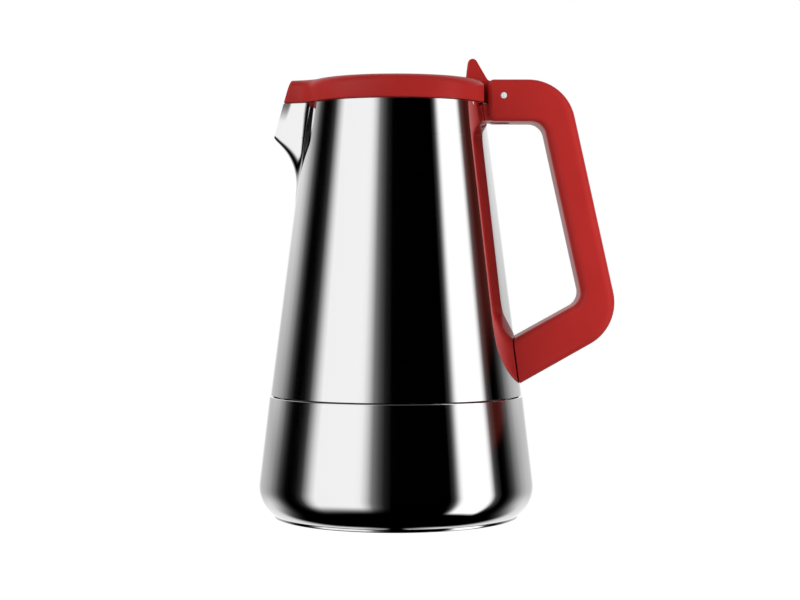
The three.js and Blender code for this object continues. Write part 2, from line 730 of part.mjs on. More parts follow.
const lower = new THREE.Group();
lower.add(
  piece('base_cap', baseCap(), polishedSteel),
  piece('diffuser_disc', diffuserDisc(), aluminium),
  piece('boiler', boiler(), polishedSteel),
  safetyValve(),
);

const inside = new THREE.Group();
inside.add(
  piece('funnel', funnel(), plainSteel),
  piece('funnel_sieve', funnelSieve(), plainSteel),
  piece('gasket', gasket(), silicone),
  piece('filter_plate', filterPlate(), plainSteel),
);

const upper = new THREE.Group();
upper.add(
  piece('collector', collector(), polishedSteel),
  piece('thread_cup', threadCup(), plainSteel),
  piece('column', column(), plainSteel),
  piece('column_cap', columnCap(), plainSteel),
  piece('upper_bracket', upperBracket(), plainSteel),
  piece('lower_bracket', lowerBracket(), plainSteel),
  piece('handle', handle(), redNylon),
  piece('handle_screw', handleScrew(), plainSteel),
  piece('hinge_pin', hingePin(), polishedSteel),
  piece('lid', lid(), redNylon),
);

const pot = new THREE.Group();
pot.add(lower, inside, upper);

export default pot;
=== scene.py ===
import logging
import math
from collections.abc import Callable, Sequence
from dataclasses import dataclass, field
from enum import Enum

import bmesh
import bpy
import numpy as np
from mathutils import Matrix, Vector
from mathutils.geometry import delaunay_2d_cdt


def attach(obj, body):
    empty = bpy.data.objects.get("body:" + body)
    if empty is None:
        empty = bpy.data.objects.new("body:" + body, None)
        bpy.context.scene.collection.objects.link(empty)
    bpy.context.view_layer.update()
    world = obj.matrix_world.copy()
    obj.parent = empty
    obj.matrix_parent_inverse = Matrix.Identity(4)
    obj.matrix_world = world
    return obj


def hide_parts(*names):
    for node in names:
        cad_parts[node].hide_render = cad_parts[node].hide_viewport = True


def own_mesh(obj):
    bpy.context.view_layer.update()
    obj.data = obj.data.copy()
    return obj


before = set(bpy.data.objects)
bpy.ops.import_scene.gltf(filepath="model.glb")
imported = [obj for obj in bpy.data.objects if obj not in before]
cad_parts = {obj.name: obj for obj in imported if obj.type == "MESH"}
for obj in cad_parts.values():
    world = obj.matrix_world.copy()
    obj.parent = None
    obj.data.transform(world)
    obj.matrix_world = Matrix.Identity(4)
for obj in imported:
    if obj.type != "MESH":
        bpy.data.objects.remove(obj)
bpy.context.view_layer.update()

# All shapes below are worked out in millimetres and written to meshes in metres.
MM = 0.001
SHARP_BEND = 32.0  # degrees; edges that bend by more stay sharp
SQUARE = 0.01      # edge rounding of cutters, which leaves their edges square
TOUCHING = 0.001   # points closer than this count as one

Colour = tuple[float, float, float]
Stops = Sequence[tuple[float, float]]
log = logging.getLogger("pot")


# ---------------------------------------------------------------- shader expressions


def arithmetic(operation: str) -> Callable[["Value", "Value | float"], "Value"]:
    """Makes an operator of Value.

    Args:
        operation: the Math node's operation.

    Returns:
        A method that adds one such node.
    """

    def operator(self: "Value", other: "Value | float") -> "Value":
        """Adds the Math node, with the value first."""
        return self.math(operation, other)

    return operator


class Value:
    """A number that travels through a node tree; arithmetic on it adds Math nodes."""

    def __init__(self, graph: "Graph", socket: bpy.types.NodeSocket) -> None:
        """Wraps an output socket of the graph."""
        self.graph = graph
        self.socket = socket

    def math(self, operation: str, *others: "Value | float") -> "Value":
        """Adds one Math node.

        Args:
            operation: the Math node's operation.
            others: the operands after this one.

        Returns:
            The node's result.
        """
        return self.graph.add("ShaderNodeMath", {"operation": operation}, dict(enumerate((self, *others))))

    def drive(self, shader: bpy.types.Node, name: str) -> None:
        """Leads the value to a named socket of a shader."""
        self.graph.tree.links.new(self.socket, shader.inputs[name])

    def __rsub__(self, other: float) -> "Value":
        """Difference, with the number first."""
        return self.graph.add("ShaderNodeMath", {"operation": "SUBTRACT"}, {0: other, 1: self})

    __add__ = __radd__ = arithmetic("ADD")
    __mul__ = __rmul__ = arithmetic("MULTIPLY")
    __sub__ = arithmetic("SUBTRACT")
    __truediv__ = arithmetic("DIVIDE")
    __pow__ = arithmetic("POWER")


class Graph:
    """The node tree of a material or of the world."""

    def __init__(self, tree: bpy.types.NodeTree) -> None:
        """Empties the tree."""
        self.tree = tree
        tree.nodes.clear()

    def node(self, kind: str, settings: dict | None = None, inputs: dict | None = None) -> bpy.types.Node:
        """Adds a node.

        Args:
            kind: the node's type.
            settings: its properties; "stops" holds a ramp's (place, level) pairs.
            inputs: values, links or colours by the socket's name or number.

        Returns:
            The new node.
        """
        made = self.tree.nodes.new(kind)
        for name, setting in (settings or {}).items():
            if name == "stops":
                self._set_stops(made.color_ramp, setting)
            else:
                setattr(made, name, setting)
        for name, given in (inputs or {}).items():
            if isinstance(given, Value):
                self.tree.links.new(given.socket, made.inputs[name])
            else:
                made.inputs[name].default_value = given
        return made

    def add(self, kind: str, settings: dict | None = None, inputs: dict | None = None,
            output: str | int = 0) -> Value:
        """Adds a node, as node() does, and returns the output of that name or number."""
        return Value(self, self.node(kind, settings, inputs).outputs[output])

    def noise(self, place: Value, scale: float, detail: float, roughness: float = 0.5) -> Value:
        """Cloudy noise from 0 to 1, with its scale per metre."""
        return self.add("ShaderNodeTexNoise", inputs={
            "Vector": place, "Scale": scale, "Detail": detail, "Roughness": roughness,
        })

    def smooth_step(self, value: Value, start: float, end: float) -> Value:
        """A soft ramp of a value.

        Args:
            value: the value.
            start: where the ramp is 0; it may be the greater of the two.
            end: where it is 1.

        Returns:
            The ramp, level before its start and past its end.
        """
        low, high = min(start, end), max(start, end)
        rising = self.add("ShaderNodeMapRange", {"interpolation_type": "SMOOTHSTEP"},
                          {"Value": value, "From Min": low, "From Max": high})
        return rising if start < end else 1 - rising

    def hill(self, value: Value, start: float, full: float, falling: float, end: float) -> Value:
        """Rises softly from 0 at start to 1 at full, and falls from falling to 0 at end."""
        return self.smooth_step(value, start, full) * self.smooth_step(value, end, falling)

    def mix_colours(self, factor: Value, first: Colour, second: Colour) -> Value:
        """A colour between two others."""
        return self.add("ShaderNodeMix", {"data_type": "RGBA"},
                        {0: factor, 6: (*first, 1.0), 7: (*second, 1.0)}, output=2)

    @staticmethod
    def _set_stops(ramp: bpy.types.ColorRamp, stops: Stops) -> None:
        """Writes grey levels into a colour ramp.

        Args:
            ramp: the ramp, as a new node has it.
            stops: pairs of place and level, in order of their place.
        """
        ramp.elements.remove(ramp.elements[-1])
        ramp.elements[0].position = stops[0][0]
        for place, _ in stops[1:]:
            ramp.elements.new(place)
        for element, (_, level) in zip(ramp.elements, stops):
            element.color = (level, level, level, 1.0)


# ---------------------------------------------------------------- finishes


@dataclass(frozen=True)
class Finish:
    """What a material is made of, before its surface detail.

    Attributes:
        name: the material's name.
        slot: the record's material slot; not used.
        colour: linear base colour.
        roughness: mean roughness.
        metallic: 1 for metals and 0 for the rest.
        specular: level of the mirrored light on what isn't metal.
    """

    name: str
    slot: str
    colour: Colour
    roughness: float
    metallic: float = 0.0
    specular: float = 0.5

    def material(self) -> bpy.types.Material:
        """Makes the material.

        Returns:
            A material with a Principled shader and the detail that each kind of finish adds.
        """
        material = bpy.data.materials.new(self.name)
        material.use_nodes = True
        graph = Graph(material.node_tree)
        shader = graph.node("ShaderNodeBsdfPrincipled", inputs={
            "Base Color": (*self.colour, 1.0),
            "Roughness": self.roughness,
            "Metallic": self.metallic,
            "Specular IOR Level": self.specular,
        })
        graph.node("ShaderNodeOutputMaterial", inputs={"Surface": Value(graph, shader.outputs[0])})
        self.detail(graph, shader, graph.add("ShaderNodeTexCoord", output="Object"))
        return material

    def detail(self, graph: Graph, shader: bpy.types.Node, place: Value) -> None:
        """Adds the surface detail.

        Args:
            graph: the material's graph.
            shader: its Principled shader.
            place: the place on the piece.
        """
        raise NotImplementedError

    @staticmethod
    def relief(shader: bpy.types.Node, height: Value, strength: float, depth: float) -> None:
        """Leads a height to the shader's normal.

        Args:
            shader: the Principled shader.
            height: the height, from 0 to 1.
            strength: strength of the relief.
            depth: its depth, in millimetres.
        """
        bump = height.graph.add("ShaderNodeBump", inputs={
            "Height": height, "Strength": strength, "Distance": depth * MM,
        })
        bump.drive(shader, "Normal")


@dataclass(frozen=True)
class Metal(Finish):
    """Metal with the marks that turning or polishing leaves around its axis.

    Attributes:
        marks: how strongly the fine turning marks show in roughness and relief.
        mark_spacing: distance between the marks, in millimetres.
        stain: a second linear colour that varies softly over the surface.
    """

    metallic: float = 1.0
    marks: float = 0.0
    mark_spacing: float = 0.25
    stain: Colour | None = None

    def detail(self, graph: Graph, shader: bpy.types.Node, place: Value) -> None:
        """Rings of fine marks along Z, a soft change of roughness, and a faint stain."""
        rings = graph.add("ShaderNodeMapping", inputs={
            "Vector": place, "Scale": (60.0, 60.0, 1.0 / (self.mark_spacing * MM)),
        })
        fine = graph.noise(rings, 1.0, 3.0, roughness=0.6)
        cloud = graph.noise(place, 45.0, 4.0)
        rough = self.roughness * (0.82 + 0.36 * cloud) + self.marks * 0.12 * (fine - 0.5)
        rough.math("MAXIMUM", 0.02).drive(shader, "Roughness")
        if self.stain:
            factor = graph.smooth_step(cloud, 0.35, 0.7)
            graph.mix_colours(factor, self.colour, self.stain).drive(shader, "Base Color")
        if self.marks:
            self.relief(shader, fine, 0.25 * self.marks, 0.004)


@dataclass(frozen=True)
class Nylon(Finish):
    """Satin moulded nylon: a fine grain in its relief, and a colour that clouds a little.

    Attributes:
        deep: the colour of the denser clouds.
        grain: depth of the mould's grain, in millimetres.
    """

    specular: float = 0.12
    deep: Colour = (0.48, 0.025, 0.022)
    grain: float = 0.012

    def detail(self, graph: Graph, shader: bpy.types.Node, place: Value) -> None:
        """Grain, flow clouds and small changes of gloss."""
        cloud = graph.noise(place, 38.0, 3.0)
        speck = graph.noise(place, 2600.0, 2.0)
        cells = graph.add("ShaderNodeTexVoronoi", inputs={"Vector": place, "Scale": 3200.0})
        factor = 0.7 * graph.smooth_step(cloud, 0.35, 0.75) + 0.3 * speck
        graph.mix_colours(factor, self.colour, self.deep).drive(shader, "Base Color")
        rough = self.roughness + 0.08 * (cloud - 0.5) + 0.06 * (speck - 0.5)
        rough.drive(shader, "Roughness")
        self.relief(shader, cells * 0.6 + speck * 0.4, 0.35, self.grain)


@dataclass(frozen=True)
class Rubber(Finish):
    """Matt silicone with a faint bloom."""

    def detail(self, graph: Graph, shader: bpy.types.Node, place: Value) -> None:
        """Soft changes of shade and a fine, shallow relief."""
        cloud = graph.noise(place, 90.0, 4.0)
        paler = tuple(min(1.0, 1.06 * part) for part in self.colour)
        graph.mix_colours(cloud, self.colour, paler).drive(shader, "Base Color")
        (self.roughness + 0.1 * (cloud - 0.5)).drive(shader, "Roughness")
        self.relief(shader, cloud, 0.2, 0.05)


class Look(Enum):
    """The finishes of the pot's pieces."""

    POLISHED = Metal("mirror_steel", "polished_steel", (0.90, 0.90, 0.905), 0.05, marks=0.12)
    PLAIN = Metal("pressed_steel", "plain_steel", (0.72, 0.72, 0.71), 0.28, marks=0.7,
                  stain=(0.64, 0.64, 0.62))
    ROLLED = Metal("rolled_aluminium", "aluminium", (0.76, 0.77, 0.78), 0.42, marks=0.8)
    BRASS = Metal("turned_brass", "brass", (0.66, 0.46, 0.17), 0.24, marks=0.6, stain=(0.55, 0.36, 0.14))
    NYLON = Nylon("satin_nylon", "red_nylon", (0.54, 0.030, 0.027), 0.34)
    SILICONE = Rubber("moulded_silicone", "silicone", (0.78, 0.77, 0.72), 0.6)
    # Matte white, not metal: the pin's white stands in for the bright glint of its polished steel ends, a
    # painted highlight.
    PIN = Metal("pin_end_painted_glint", "polished_steel", (1.0, 1.0, 0.99), 0.5, metallic=0.0, marks=0.1)

    def material(self) -> bpy.types.Material:
        """The finish's material, made once."""
        return bpy.data.materials.get(self.value.name) or self.value.material()


# ---------------------------------------------------------------- shapes from grids


def shifted(mesh: bpy.types.Mesh, x: float, z: float) -> bpy.types.Mesh:
    """Moves a mesh by millimetres along X and Z, and returns it."""
    mesh.transform(Matrix.Translation((x * MM, 0, z * MM)))
    return mesh


def on_circle(radius: float, angle: np.ndarray) -> np.ndarray:
    """Points on a circle about the origin, one row for each angle in radians."""
    return radius * np.stack([np.cos(angle), np.sin(angle)], axis=1)


def corner_arc(before: Sequence[float], corner: Sequence[float], after: Sequence[float],
               radius: float, steps: int) -> np.ndarray:
    """Rounds one corner of a line.

    The arc touches both sides at radius / tan(half the corner's angle) from the corner, and its
    centre is radius / sin(half the angle) away on the bisector.

    Args:
        before: a point on the side that leads to the corner.
        corner: the corner.
        after: a point on the side that leaves it.
        radius: radius of the arc; 0 keeps the corner sharp.
        steps: number of chords in the arc.

    Returns:
        steps + 1 points, from the first side to the second.
    """
    corner, before, after = (np.asarray(point, float)[:2] for point in (corner, before, after))
    back = (before - corner) / np.linalg.norm(before - corner)
    forth = (after - corner) / np.linalg.norm(after - corner)
    half = math.acos(float(np.clip(back @ forth, -1, 1))) / 2
    if radius <= 0 or half > math.pi / 2 - 1e-6:
        return np.repeat(corner[None], steps + 1, axis=0)
    centre = corner + (back + forth) / np.linalg.norm(back + forth) * radius / math.sin(half)
    start = corner + back * radius / math.tan(half) - centre
    end = corner + forth * radius / math.tan(half) - centre
    sweep = math.atan2(start[0] * end[1] - start[1] * end[0], float(start @ end))
    angle = math.atan2(start[1], start[0]) + sweep * np.linspace(0, 1, steps + 1)
    return centre + on_circle(radius, angle)


def rounded_line(corners: Sequence[tuple[float, ...]], closed: bool = False, steps: int = 5) -> np.ndarray:
    """A line through corners of (a, b, radius), with each radius as a tangent arc.

    Args:
        corners: the corners; the radius may be left out.
        closed: whether the line returns to its first corner.
        steps: chords in each arc.

    Returns:
        The line's points, one row each.
    """
    parts = []
    count = len(corners)
    for i, corner in enumerate(corners):
        radius = corner[2] if len(corner) > 2 else 0.0
        if radius and (closed or 0 < i < count - 1):
            parts.append(corner_arc(corners[i - 1], corner, corners[(i + 1) % count], radius, steps))
        else:
            parts.append(np.array([corner[:2]], float))
    return np.vstack(parts)


def arc_corners(centre: tuple[float, float], radius: float, start: float, end: float,
                steps: int) -> list[tuple[float, float]]:
    """Points of an arc about a centre, from one angle to another, in degrees."""
    angle = np.radians(np.linspace(start, end, steps + 1))
    return [tuple(point) for point in centre + on_circle(radius, angle)]


def revolved(profile: np.ndarray, columns: int = 192) -> np.ndarray:
    """Turns a profile of (radius, height) about Z: x = r cos a, y = r sin a, z = height.

    Args:
        profile: the profile's points.
        columns: points around the axis.

    Returns:
        A grid of points, profile by angle.
    """
    angle = np.linspace(0, 2 * np.pi, columns, endpoint=False)
    radius, height = profile[:, 0:1], profile[:, 1:2]
    return np.stack([radius * np.cos(angle), radius * np.sin(angle), height + 0 * angle], axis=2)


def hexagonal(grid: np.ndarray, rows: slice, across: float) -> np.ndarray:
    """Trims rows of a revolved grid to a hexagon.

    The radius at angle a is at most across / 2 / cos(a - nearest multiple of 60 degrees).

    Args:
        grid: the revolved grid.
        rows: the rows that are trimmed.
        across: the hexagon's width across its flats.

    Returns:
        The trimmed grid.
    """
    trimmed = grid.copy()
    flat = np.arctan2(grid[rows, :, 1], grid[rows, :, 0])
    flat = flat - np.round(flat / (np.pi / 3)) * np.pi / 3
    radius = np.linalg.norm(grid[rows, :, :2], axis=2)
    limit = across / 2 / np.cos(flat)
    scale = np.minimum(1, limit / np.maximum(radius, 1e-9))
    trimmed[rows, :, :2] *= scale[..., None]
    return trimmed


def carried(section: np.ndarray, angles: np.ndarray, pitch: float, bottom: float,
            fade: float = 0.0) -> np.ndarray:
    """Carries a closed section of (radius, height) up a helix: the height grows by pitch each turn.

    Args:
        section: the section's points.
        angles: the angles of the helix, in radians.
        pitch: rise per turn.
        bottom: height at the first angle.
        fade: angle over which the section shrinks towards its mean radius at both ends.

    Returns:
        A grid of points, angle by section.
    """
    radius, height = section[:, 0], section[:, 1]
    if fade:
        ends = np.minimum(angles - angles[0], angles[-1] - angles) / fade
        size = np.clip(ends, 0.05, 1)[:, None]
    else:
        size = np.ones((len(angles), 1))
    root = radius.min() if radius[np.argmax(np.abs(height))] < radius.mean() else radius.max()
    reach = root + (radius - root)[None] * size
    rise = bottom + pitch * (angles - angles[0])[:, None] / (2 * np.pi) + height[None] * size
    turn = angles[:, None]
    return np.stack([reach * np.cos(turn), reach * np.sin(turn), rise], axis=2)


def tube_along(path: np.ndarray, radius: float, sides: int = 10) -> np.ndarray:
    """A round wire along a path: circles in the plane of each point's normal and binormal.

    Args:
        path: the wire's centre line.
        radius: the wire's radius.
        sides: points around it.

    Returns:
        A grid of points, path by circle.
    """
    along = np.gradient(path, axis=0)
    along /= np.linalg.norm(along, axis=1, keepdims=True)
    up = np.array([0.0, 0.0, 1.0])
    side = np.cross(along, up)
    side /= np.linalg.norm(side, axis=1, keepdims=True)
    other = np.cross(side, along)
    angle = np.linspace(0, 2 * np.pi, sides, endpoint=False)[None, :, None]
    return path[:, None] + radius * (np.cos(angle) * side[:, None] + np.sin(angle) * other[:, None])


def grid_faces(rows: int, columns: int, wrap_rows: bool, wrap_columns: bool) -> np.ndarray:
    """Finds the quads between neighbouring points of a grid.

    Args:
        rows: the grid's rows.
        columns: the grid's columns.
        wrap_rows: whether the last row joins the first.
        wrap_columns: whether the last column joins the first.

    Returns:
        Four corner numbers a quad, one quad a row.
    """
    row = np.arange(rows if wrap_rows else rows - 1)[:, None]
    column = np.arange(columns if wrap_columns else columns - 1)[None]
    following, beside = (row + 1) % rows, (column + 1) % columns
    quads = np.stack([row * columns + column, row * columns + beside,
                      following * columns + beside, following * columns + column], axis=-1)
    return quads.reshape(-1, 4)


class Closing(Enum):
    """How a grid of points is closed into a solid."""

    SHELL = "rows end in a pole or a rim of their own"
    RING = "the last row joins the first"
    CAPPED = "the first and the last row are filled with one face each"
    OPEN = "left open, to be given a thickness"


def mesh_from_grid(name: str, grid: np.ndarray, closing: Closing, wrap: bool = True) -> bpy.types.Mesh:
    """Makes a mesh from a grid of points.

    Args:
        name: the mesh's name.
        grid: points in millimetres, rows by columns.
        closing: how the grid is closed.
        wrap: whether the last column joins the first.

    Returns:
        The mesh, in metres, with its doubles merged and its faces pointing outwards.
    """
    rows, columns = grid.shape[:2]
    faces = grid_faces(rows, columns, closing is Closing.RING, wrap).tolist()
    if closing is Closing.CAPPED:
        faces.append(list(range(columns))[::-1])
        faces.append(list(range((rows - 1) * columns, rows * columns)))
    mesh = bpy.data.meshes.new(name)
    mesh.from_pydata((grid.reshape(-1, 3) * MM).tolist(), [], faces)
    tidy_mesh(mesh, closed=closing is not Closing.OPEN)
    return mesh


def smooth(mesh: bpy.types.Mesh, bend: float = SHARP_BEND) -> None:
    """Shades a mesh smoothly; edges that bend by more degrees than this stay sharp."""
    mesh.shade_smooth()
    mesh.set_sharp_from_angle(angle=math.radians(bend))


def tidy_mesh(mesh: bpy.types.Mesh, closed: bool = True) -> None:
    """Merges doubles, drops empty faces, turns the faces outwards and smooths the shading.

    Args:
        mesh: the mesh.
        closed: whether it is a closed solid, whose normals can be worked out.
    """
    work = bmesh.new()
    work.from_mesh(mesh)
    bmesh.ops.remove_doubles(work, verts=work.verts, dist=2 * TOUCHING * MM)
    bmesh.ops.dissolve_degenerate(work, edges=work.edges, dist=TOUCHING * MM)
    if closed:
        bmesh.ops.recalc_face_normals(work, faces=work.faces)
    work.to_mesh(mesh)
    work.free()
    smooth(mesh)


def linked(name: str, data: bpy.types.ID) -> bpy.types.Object:
    """Adds an object with this data to the scene, and returns it."""
    made = bpy.data.objects.new(name, data)
    bpy.context.scene.collection.objects.link(made)
    return made


def place(mesh: bpy.types.Mesh, look: Look, body: str, nodes: Sequence[str] = ()) -> bpy.types.Object:
    """Adds a piece to the pot.

    Args:
        mesh: its mesh, in place.
        look: its finish.
        body: the body it moves with.
        nodes: the CAD nodes that it stands for.

    Returns:
        The piece.
    """
    piece = linked(mesh.name, mesh)
    mesh.materials.clear()
    mesh.materials.append(look.material())
    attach(piece, body)
    if nodes:
        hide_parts(*nodes)
    log.info("%s: %d faces on %s", piece.name, len(mesh.polygons), body)
    return piece


def apply_modifiers(piece: bpy.types.Object) -> None:
    """Writes what a piece's modifiers make into its mesh.

    Args:
        piece: the piece.
    """
    bpy.context.view_layer.update()
    graph = bpy.context.evaluated_depsgraph_get()
    made = bpy.data.meshes.new_from_object(piece.evaluated_get(graph))
    made.name = piece.name
    piece.modifiers.clear()
    piece.data = made


def carve(mesh: bpy.types.Mesh, cutters: Sequence[bpy.types.Mesh], edge: float = 0.0) -> bpy.types.Mesh:
    """Cuts solids out of a mesh.

    Args:
        mesh: the solid that is cut.
        cutters: the solids that are taken away.
        edge: width of the small chamfer along the new edges, in millimetres.

    Returns:
        The mesh that is left.
    """
    work = linked("carving", mesh)
    tools = [linked("cutter", cutter) for cutter in cutters]
    for tool in tools:
        cut = work.modifiers.new("cut", "BOOLEAN")
        cut.operation, cut.solver, cut.object = "DIFFERENCE", "EXACT", tool
    if edge:
        chamfer = work.modifiers.new("edge", "BEVEL")
        chamfer.width, chamfer.segments = edge * MM, 2
        chamfer.limit_method, chamfer.angle_limit = "ANGLE", math.radians(50)
    name = mesh.name
    apply_modifiers(work)
    left = work.data
    for spent in (work, *tools):
        bpy.data.objects.remove(spent)
    bpy.data.meshes.remove(mesh)
    left.name = name
    smooth(left)
    return left


# ---------------------------------------------------------------- slabs with rounded edges


@dataclass(frozen=True)
class Corner:
    """A corner of a slab's outline.

    Attributes:
        a: first coordinate.
        b: second coordinate.
        radius: rounding of the corner in the outline.
        edge: rounding of the long edge along the side that follows.
    """

    a: float
    b: float
    radius: float
    edge: float


def slab_outline(corners: Sequence[Corner], share: float, steps: int,
                 side_points: int) -> tuple[np.ndarray, np.ndarray]:
    """The outline of a slab, moved inwards.

    Each side moves along its inward normal by its edge rounding times the share. A corner's
    radius shrinks by the same on a convex corner and grows by it on a concave one.

    Args:
        corners: the outline, anticlockwise.
        share: how far the sides move, as a share of their edge rounding.
        steps: chords in each corner's arc.
        side_points: points added along each straight side.

    Returns:
        The outline's points, and the edge rounding at each of them.
    """
    places = np.array([(corner.a, corner.b) for corner in corners])
    edges = np.array([corner.edge for corner in corners])
    forward = np.roll(places, -1, axis=0) - places
    forward /= np.linalg.norm(forward, axis=1, keepdims=True)
    inward = np.stack([-forward[:, 1], forward[:, 0]], axis=1)
    levels = np.sum(inward * places, axis=1) + edges * share
    moved = np.array([
        np.linalg.solve(np.stack([inward[i - 1], inward[i]]), [levels[i - 1], levels[i]])
        for i in range(len(corners))
    ])
    turns = np.cross(np.roll(forward, 1, axis=0), forward)
    arcs, rounding = [], []
    for i, corner in enumerate(corners):
        change = (edges[i - 1] + edges[i]) / 2 * share * (-1 if turns[i] > 0 else 1)
        radius = max(corner.radius + change, 0.05)
        following = (i + 1) % len(corners)
        arc = corner_arc(moved[i - 1], moved[i], moved[following], radius, steps)
        arcs.append(arc)
        rounding.append(np.linspace(edges[i - 1], edges[i], steps + 1))
    line, widths = [], []
    for i, arc in enumerate(arcs):
        following = arcs[(i + 1) % len(arcs)]
        gap = np.linspace(arc[-1], following[0], side_points + 2)[1:-1]
        line += [arc, gap]
        widths += [rounding[i], np.full(side_points, edges[i])]
    return np.vstack(line), np.concatenate(widths)


def slab_mesh(name: str, corners: Sequence[Corner], half_width: float, steps: int = 8,
              rings: int = 7, side_points: int = 1) -> bpy.types.Mesh:
    """A slab in the plane of X and Z with rounded long edges.

    At an angle t of the rounding, the outline has moved inwards by edge (1 - cos t), and Y stands
    edge (1 - sin t) inside the flat face.

    Args:
        name: the mesh's name.
        corners: the outline, anticlockwise in X and Z.
        half_width: half of the slab's width along Y.
        steps: chords in each corner of the outline.
        rings: rows in each rounded edge.
        side_points: points added along each straight side.

    Returns:
        The closed mesh.
    """
    angles = np.linspace(math.pi / 2, 0, rings + 1)
    shares = [1.12, *(1 - np.cos(angles))]
    drops = [0.0, *(1 - np.sin(angles))]
    half = []
    for share, drop in zip(shares, drops):
        line, edge = slab_outline(corners, share, steps, side_points)
        half.append(np.stack([line[:, 0], drop * edge - half_width, line[:, 1]], axis=1))
    near = np.array(half)
    far = near[::-1] * np.array([1, -1, 1])
    return mesh_from_grid(name, np.concatenate([near, far]), Closing.CAPPED)


def box_mesh(name: str, x: tuple[float, float], z: tuple[float, float], half_width: float,
             edge: float = SQUARE, rings: int = 1) -> bpy.types.Mesh:
    """A block whose corners are square in the plane of X and Z.

    Args:
        name: the mesh's name.
        x: its lowest and highest X.
        z: its lowest and highest Z.
        half_width: half of its width along Y.
        edge: rounding of its long edges.
        rings: rows in each rounded edge.

    Returns:
        The closed mesh.
    """
    (left, right), (low, high) = x, z
    corners = [Corner(left, high, 0, edge), Corner(left, low, 0, edge), Corner(right, low, 0, edge),
               Corner(right, high, 0, edge)]
    return slab_mesh(name, corners, half_width, steps=1, rings=rings)


def solid_revolved(name: str, corners: Sequence[tuple[float, ...]], columns: int = 192,
                   ring: bool = False, steps: int = 4) -> bpy.types.Mesh:
    """A turned solid from the corners of its profile.

    Args:
        name: the mesh's name.
        corners: (radius, height, rounding) corners, from pole to pole or around a ring.
        columns: points around the axis.
        ring: whether the profile is closed and stands off the axis.
        steps: chords in each rounding.

    Returns:
        The closed mesh.
    """
    profile = rounded_line(corners, closed=ring, steps=steps)
    return mesh_from_grid(name, revolved(profile, columns), Closing.RING if ring else Closing.SHELL)


def lay_down(mesh: bpy.types.Mesh, distance: float, height: float) -> bpy.types.Mesh:
    """Turns a mesh drawn along Z to lie along +Y.

    Args:
        mesh: the mesh.
        distance: where its origin goes along Y.
        height: where its axis goes along Z.

    Returns:
        The same mesh.
    """
    flat = np.empty(len(mesh.vertices) * 3)
    mesh.vertices.foreach_get("co", flat)
    points = flat.reshape(-1, 3)
    turned = np.stack([points[:, 0], points[:, 2] + distance * MM, height * MM - points[:, 1]], axis=1)
    mesh.vertices.foreach_set("co", turned.ravel())
    mesh.update()
    return mesh


def perforated_plate(name: str, radius: float, bottom: float, top: float, pitch: float,
                     hole: float, field_radius: float) -> bpy.types.Mesh:
    """A round plate with holes on a triangular net.

    Args:
        name: the mesh's name.
        radius: the plate's radius.
        bottom: height of its underside.
        top: height of its upper side.
        pitch: distance between the holes.
        hole: radius of a hole.
        field_radius: radius within which the holes lie.

    Returns:
        The closed mesh.
    """
    reach = int(field_radius / pitch) + 1
    steps = np.arange(-reach, reach + 1)
    first, second = np.meshgrid(steps, steps)
    net = np.stack([pitch * (first + second / 2), pitch * second * math.sqrt(0.75)], axis=-1)
    centres = net.reshape(-1, 2)
    centres = centres[np.linalg.norm(centres, axis=1) <= field_radius]
    rim = on_circle(radius, np.radians(np.arange(0, 360, 3.75)))
    circle = on_circle(hole, np.radians(np.arange(0, 360, 36)))
    holes = (centres[:, None] + circle[None]).reshape(-1, 2)
    loops = [list(range(len(rim)))]
    starts = len(rim) + len(circle) * np.arange(len(centres))
    loops += [list(range(start, start + len(circle)))[::-1] for start in starts.tolist()]
    points = np.vstack([rim, holes])
    corners, _, faces, *_ = delaunay_2d_cdt([tuple(point) for point in points.tolist()], [], loops, 1, 1e-6)
    flat = np.array([(corner[0], corner[1]) for corner in corners])
    middle = np.array([flat[face].mean(axis=0) for face in faces])
    apart = np.linalg.norm(middle[:, None] - centres[None], axis=2).min(axis=1)
    keep = [face for face, distance in zip(faces, apart) if distance > hole * 0.93]
    mesh = bpy.data.meshes.new(name)
    upper = np.column_stack([flat, np.full(len(flat), top)]) * MM
    mesh.from_pydata(upper.tolist(), [], keep)
    work = bmesh.new()
    work.from_mesh(mesh)
    bmesh.ops.delete(work, geom=[v for v in work.verts if not v.link_faces], context="VERTS")
    grown = bmesh.ops.extrude_face_region(work, geom=work.faces[:])
    lowered = [part for part in grown["geom"] if isinstance(part, bmesh.types.BMVert)]
    bmesh.ops.translate(work, verts=lowered, vec=(0, 0, (bottom - top) * MM))
    work.to_mesh(mesh)
    work.free()
    tidy_mesh(mesh)
    return mesh


# ---------------------------------------------------------------- boiler and base


@dataclass
class Thread:
    """The thread between the boiler's neck and the collector's cup."""

    pitch: float = 3.0
    start: float = 51.0
    turns: float = 2.5  # on the neck; the cup has half a turn less
    neck_crest: float = 41.1
    cup_crest: float = 41.5

    def ridge(self, name: str, root: float, crest: float, start: float, turns: float) -> bpy.types.Mesh:
        """One rounded ridge.

        Args:
            name: the mesh's name.
            root: radius of its foot, sunk in the wall.
            crest: radius of its crest.
            start: height of its first turn.
            turns: number of turns.

        Returns:
            The closed mesh.
        """
        foot, flat, rounding = 0.9, 0.3, 0.25
        corners = [(root, -foot), (crest, -flat, rounding), (crest, flat, rounding), (root, foot)]
        section = rounded_line(corners, steps=4)
        angles = np.linspace(0, 2 * math.pi * turns, int(96 * turns) + 1)
        grid = carried(section, angles, self.pitch, start, fade=0.35)
        return mesh_from_grid(name, grid, Closing.CAPPED)


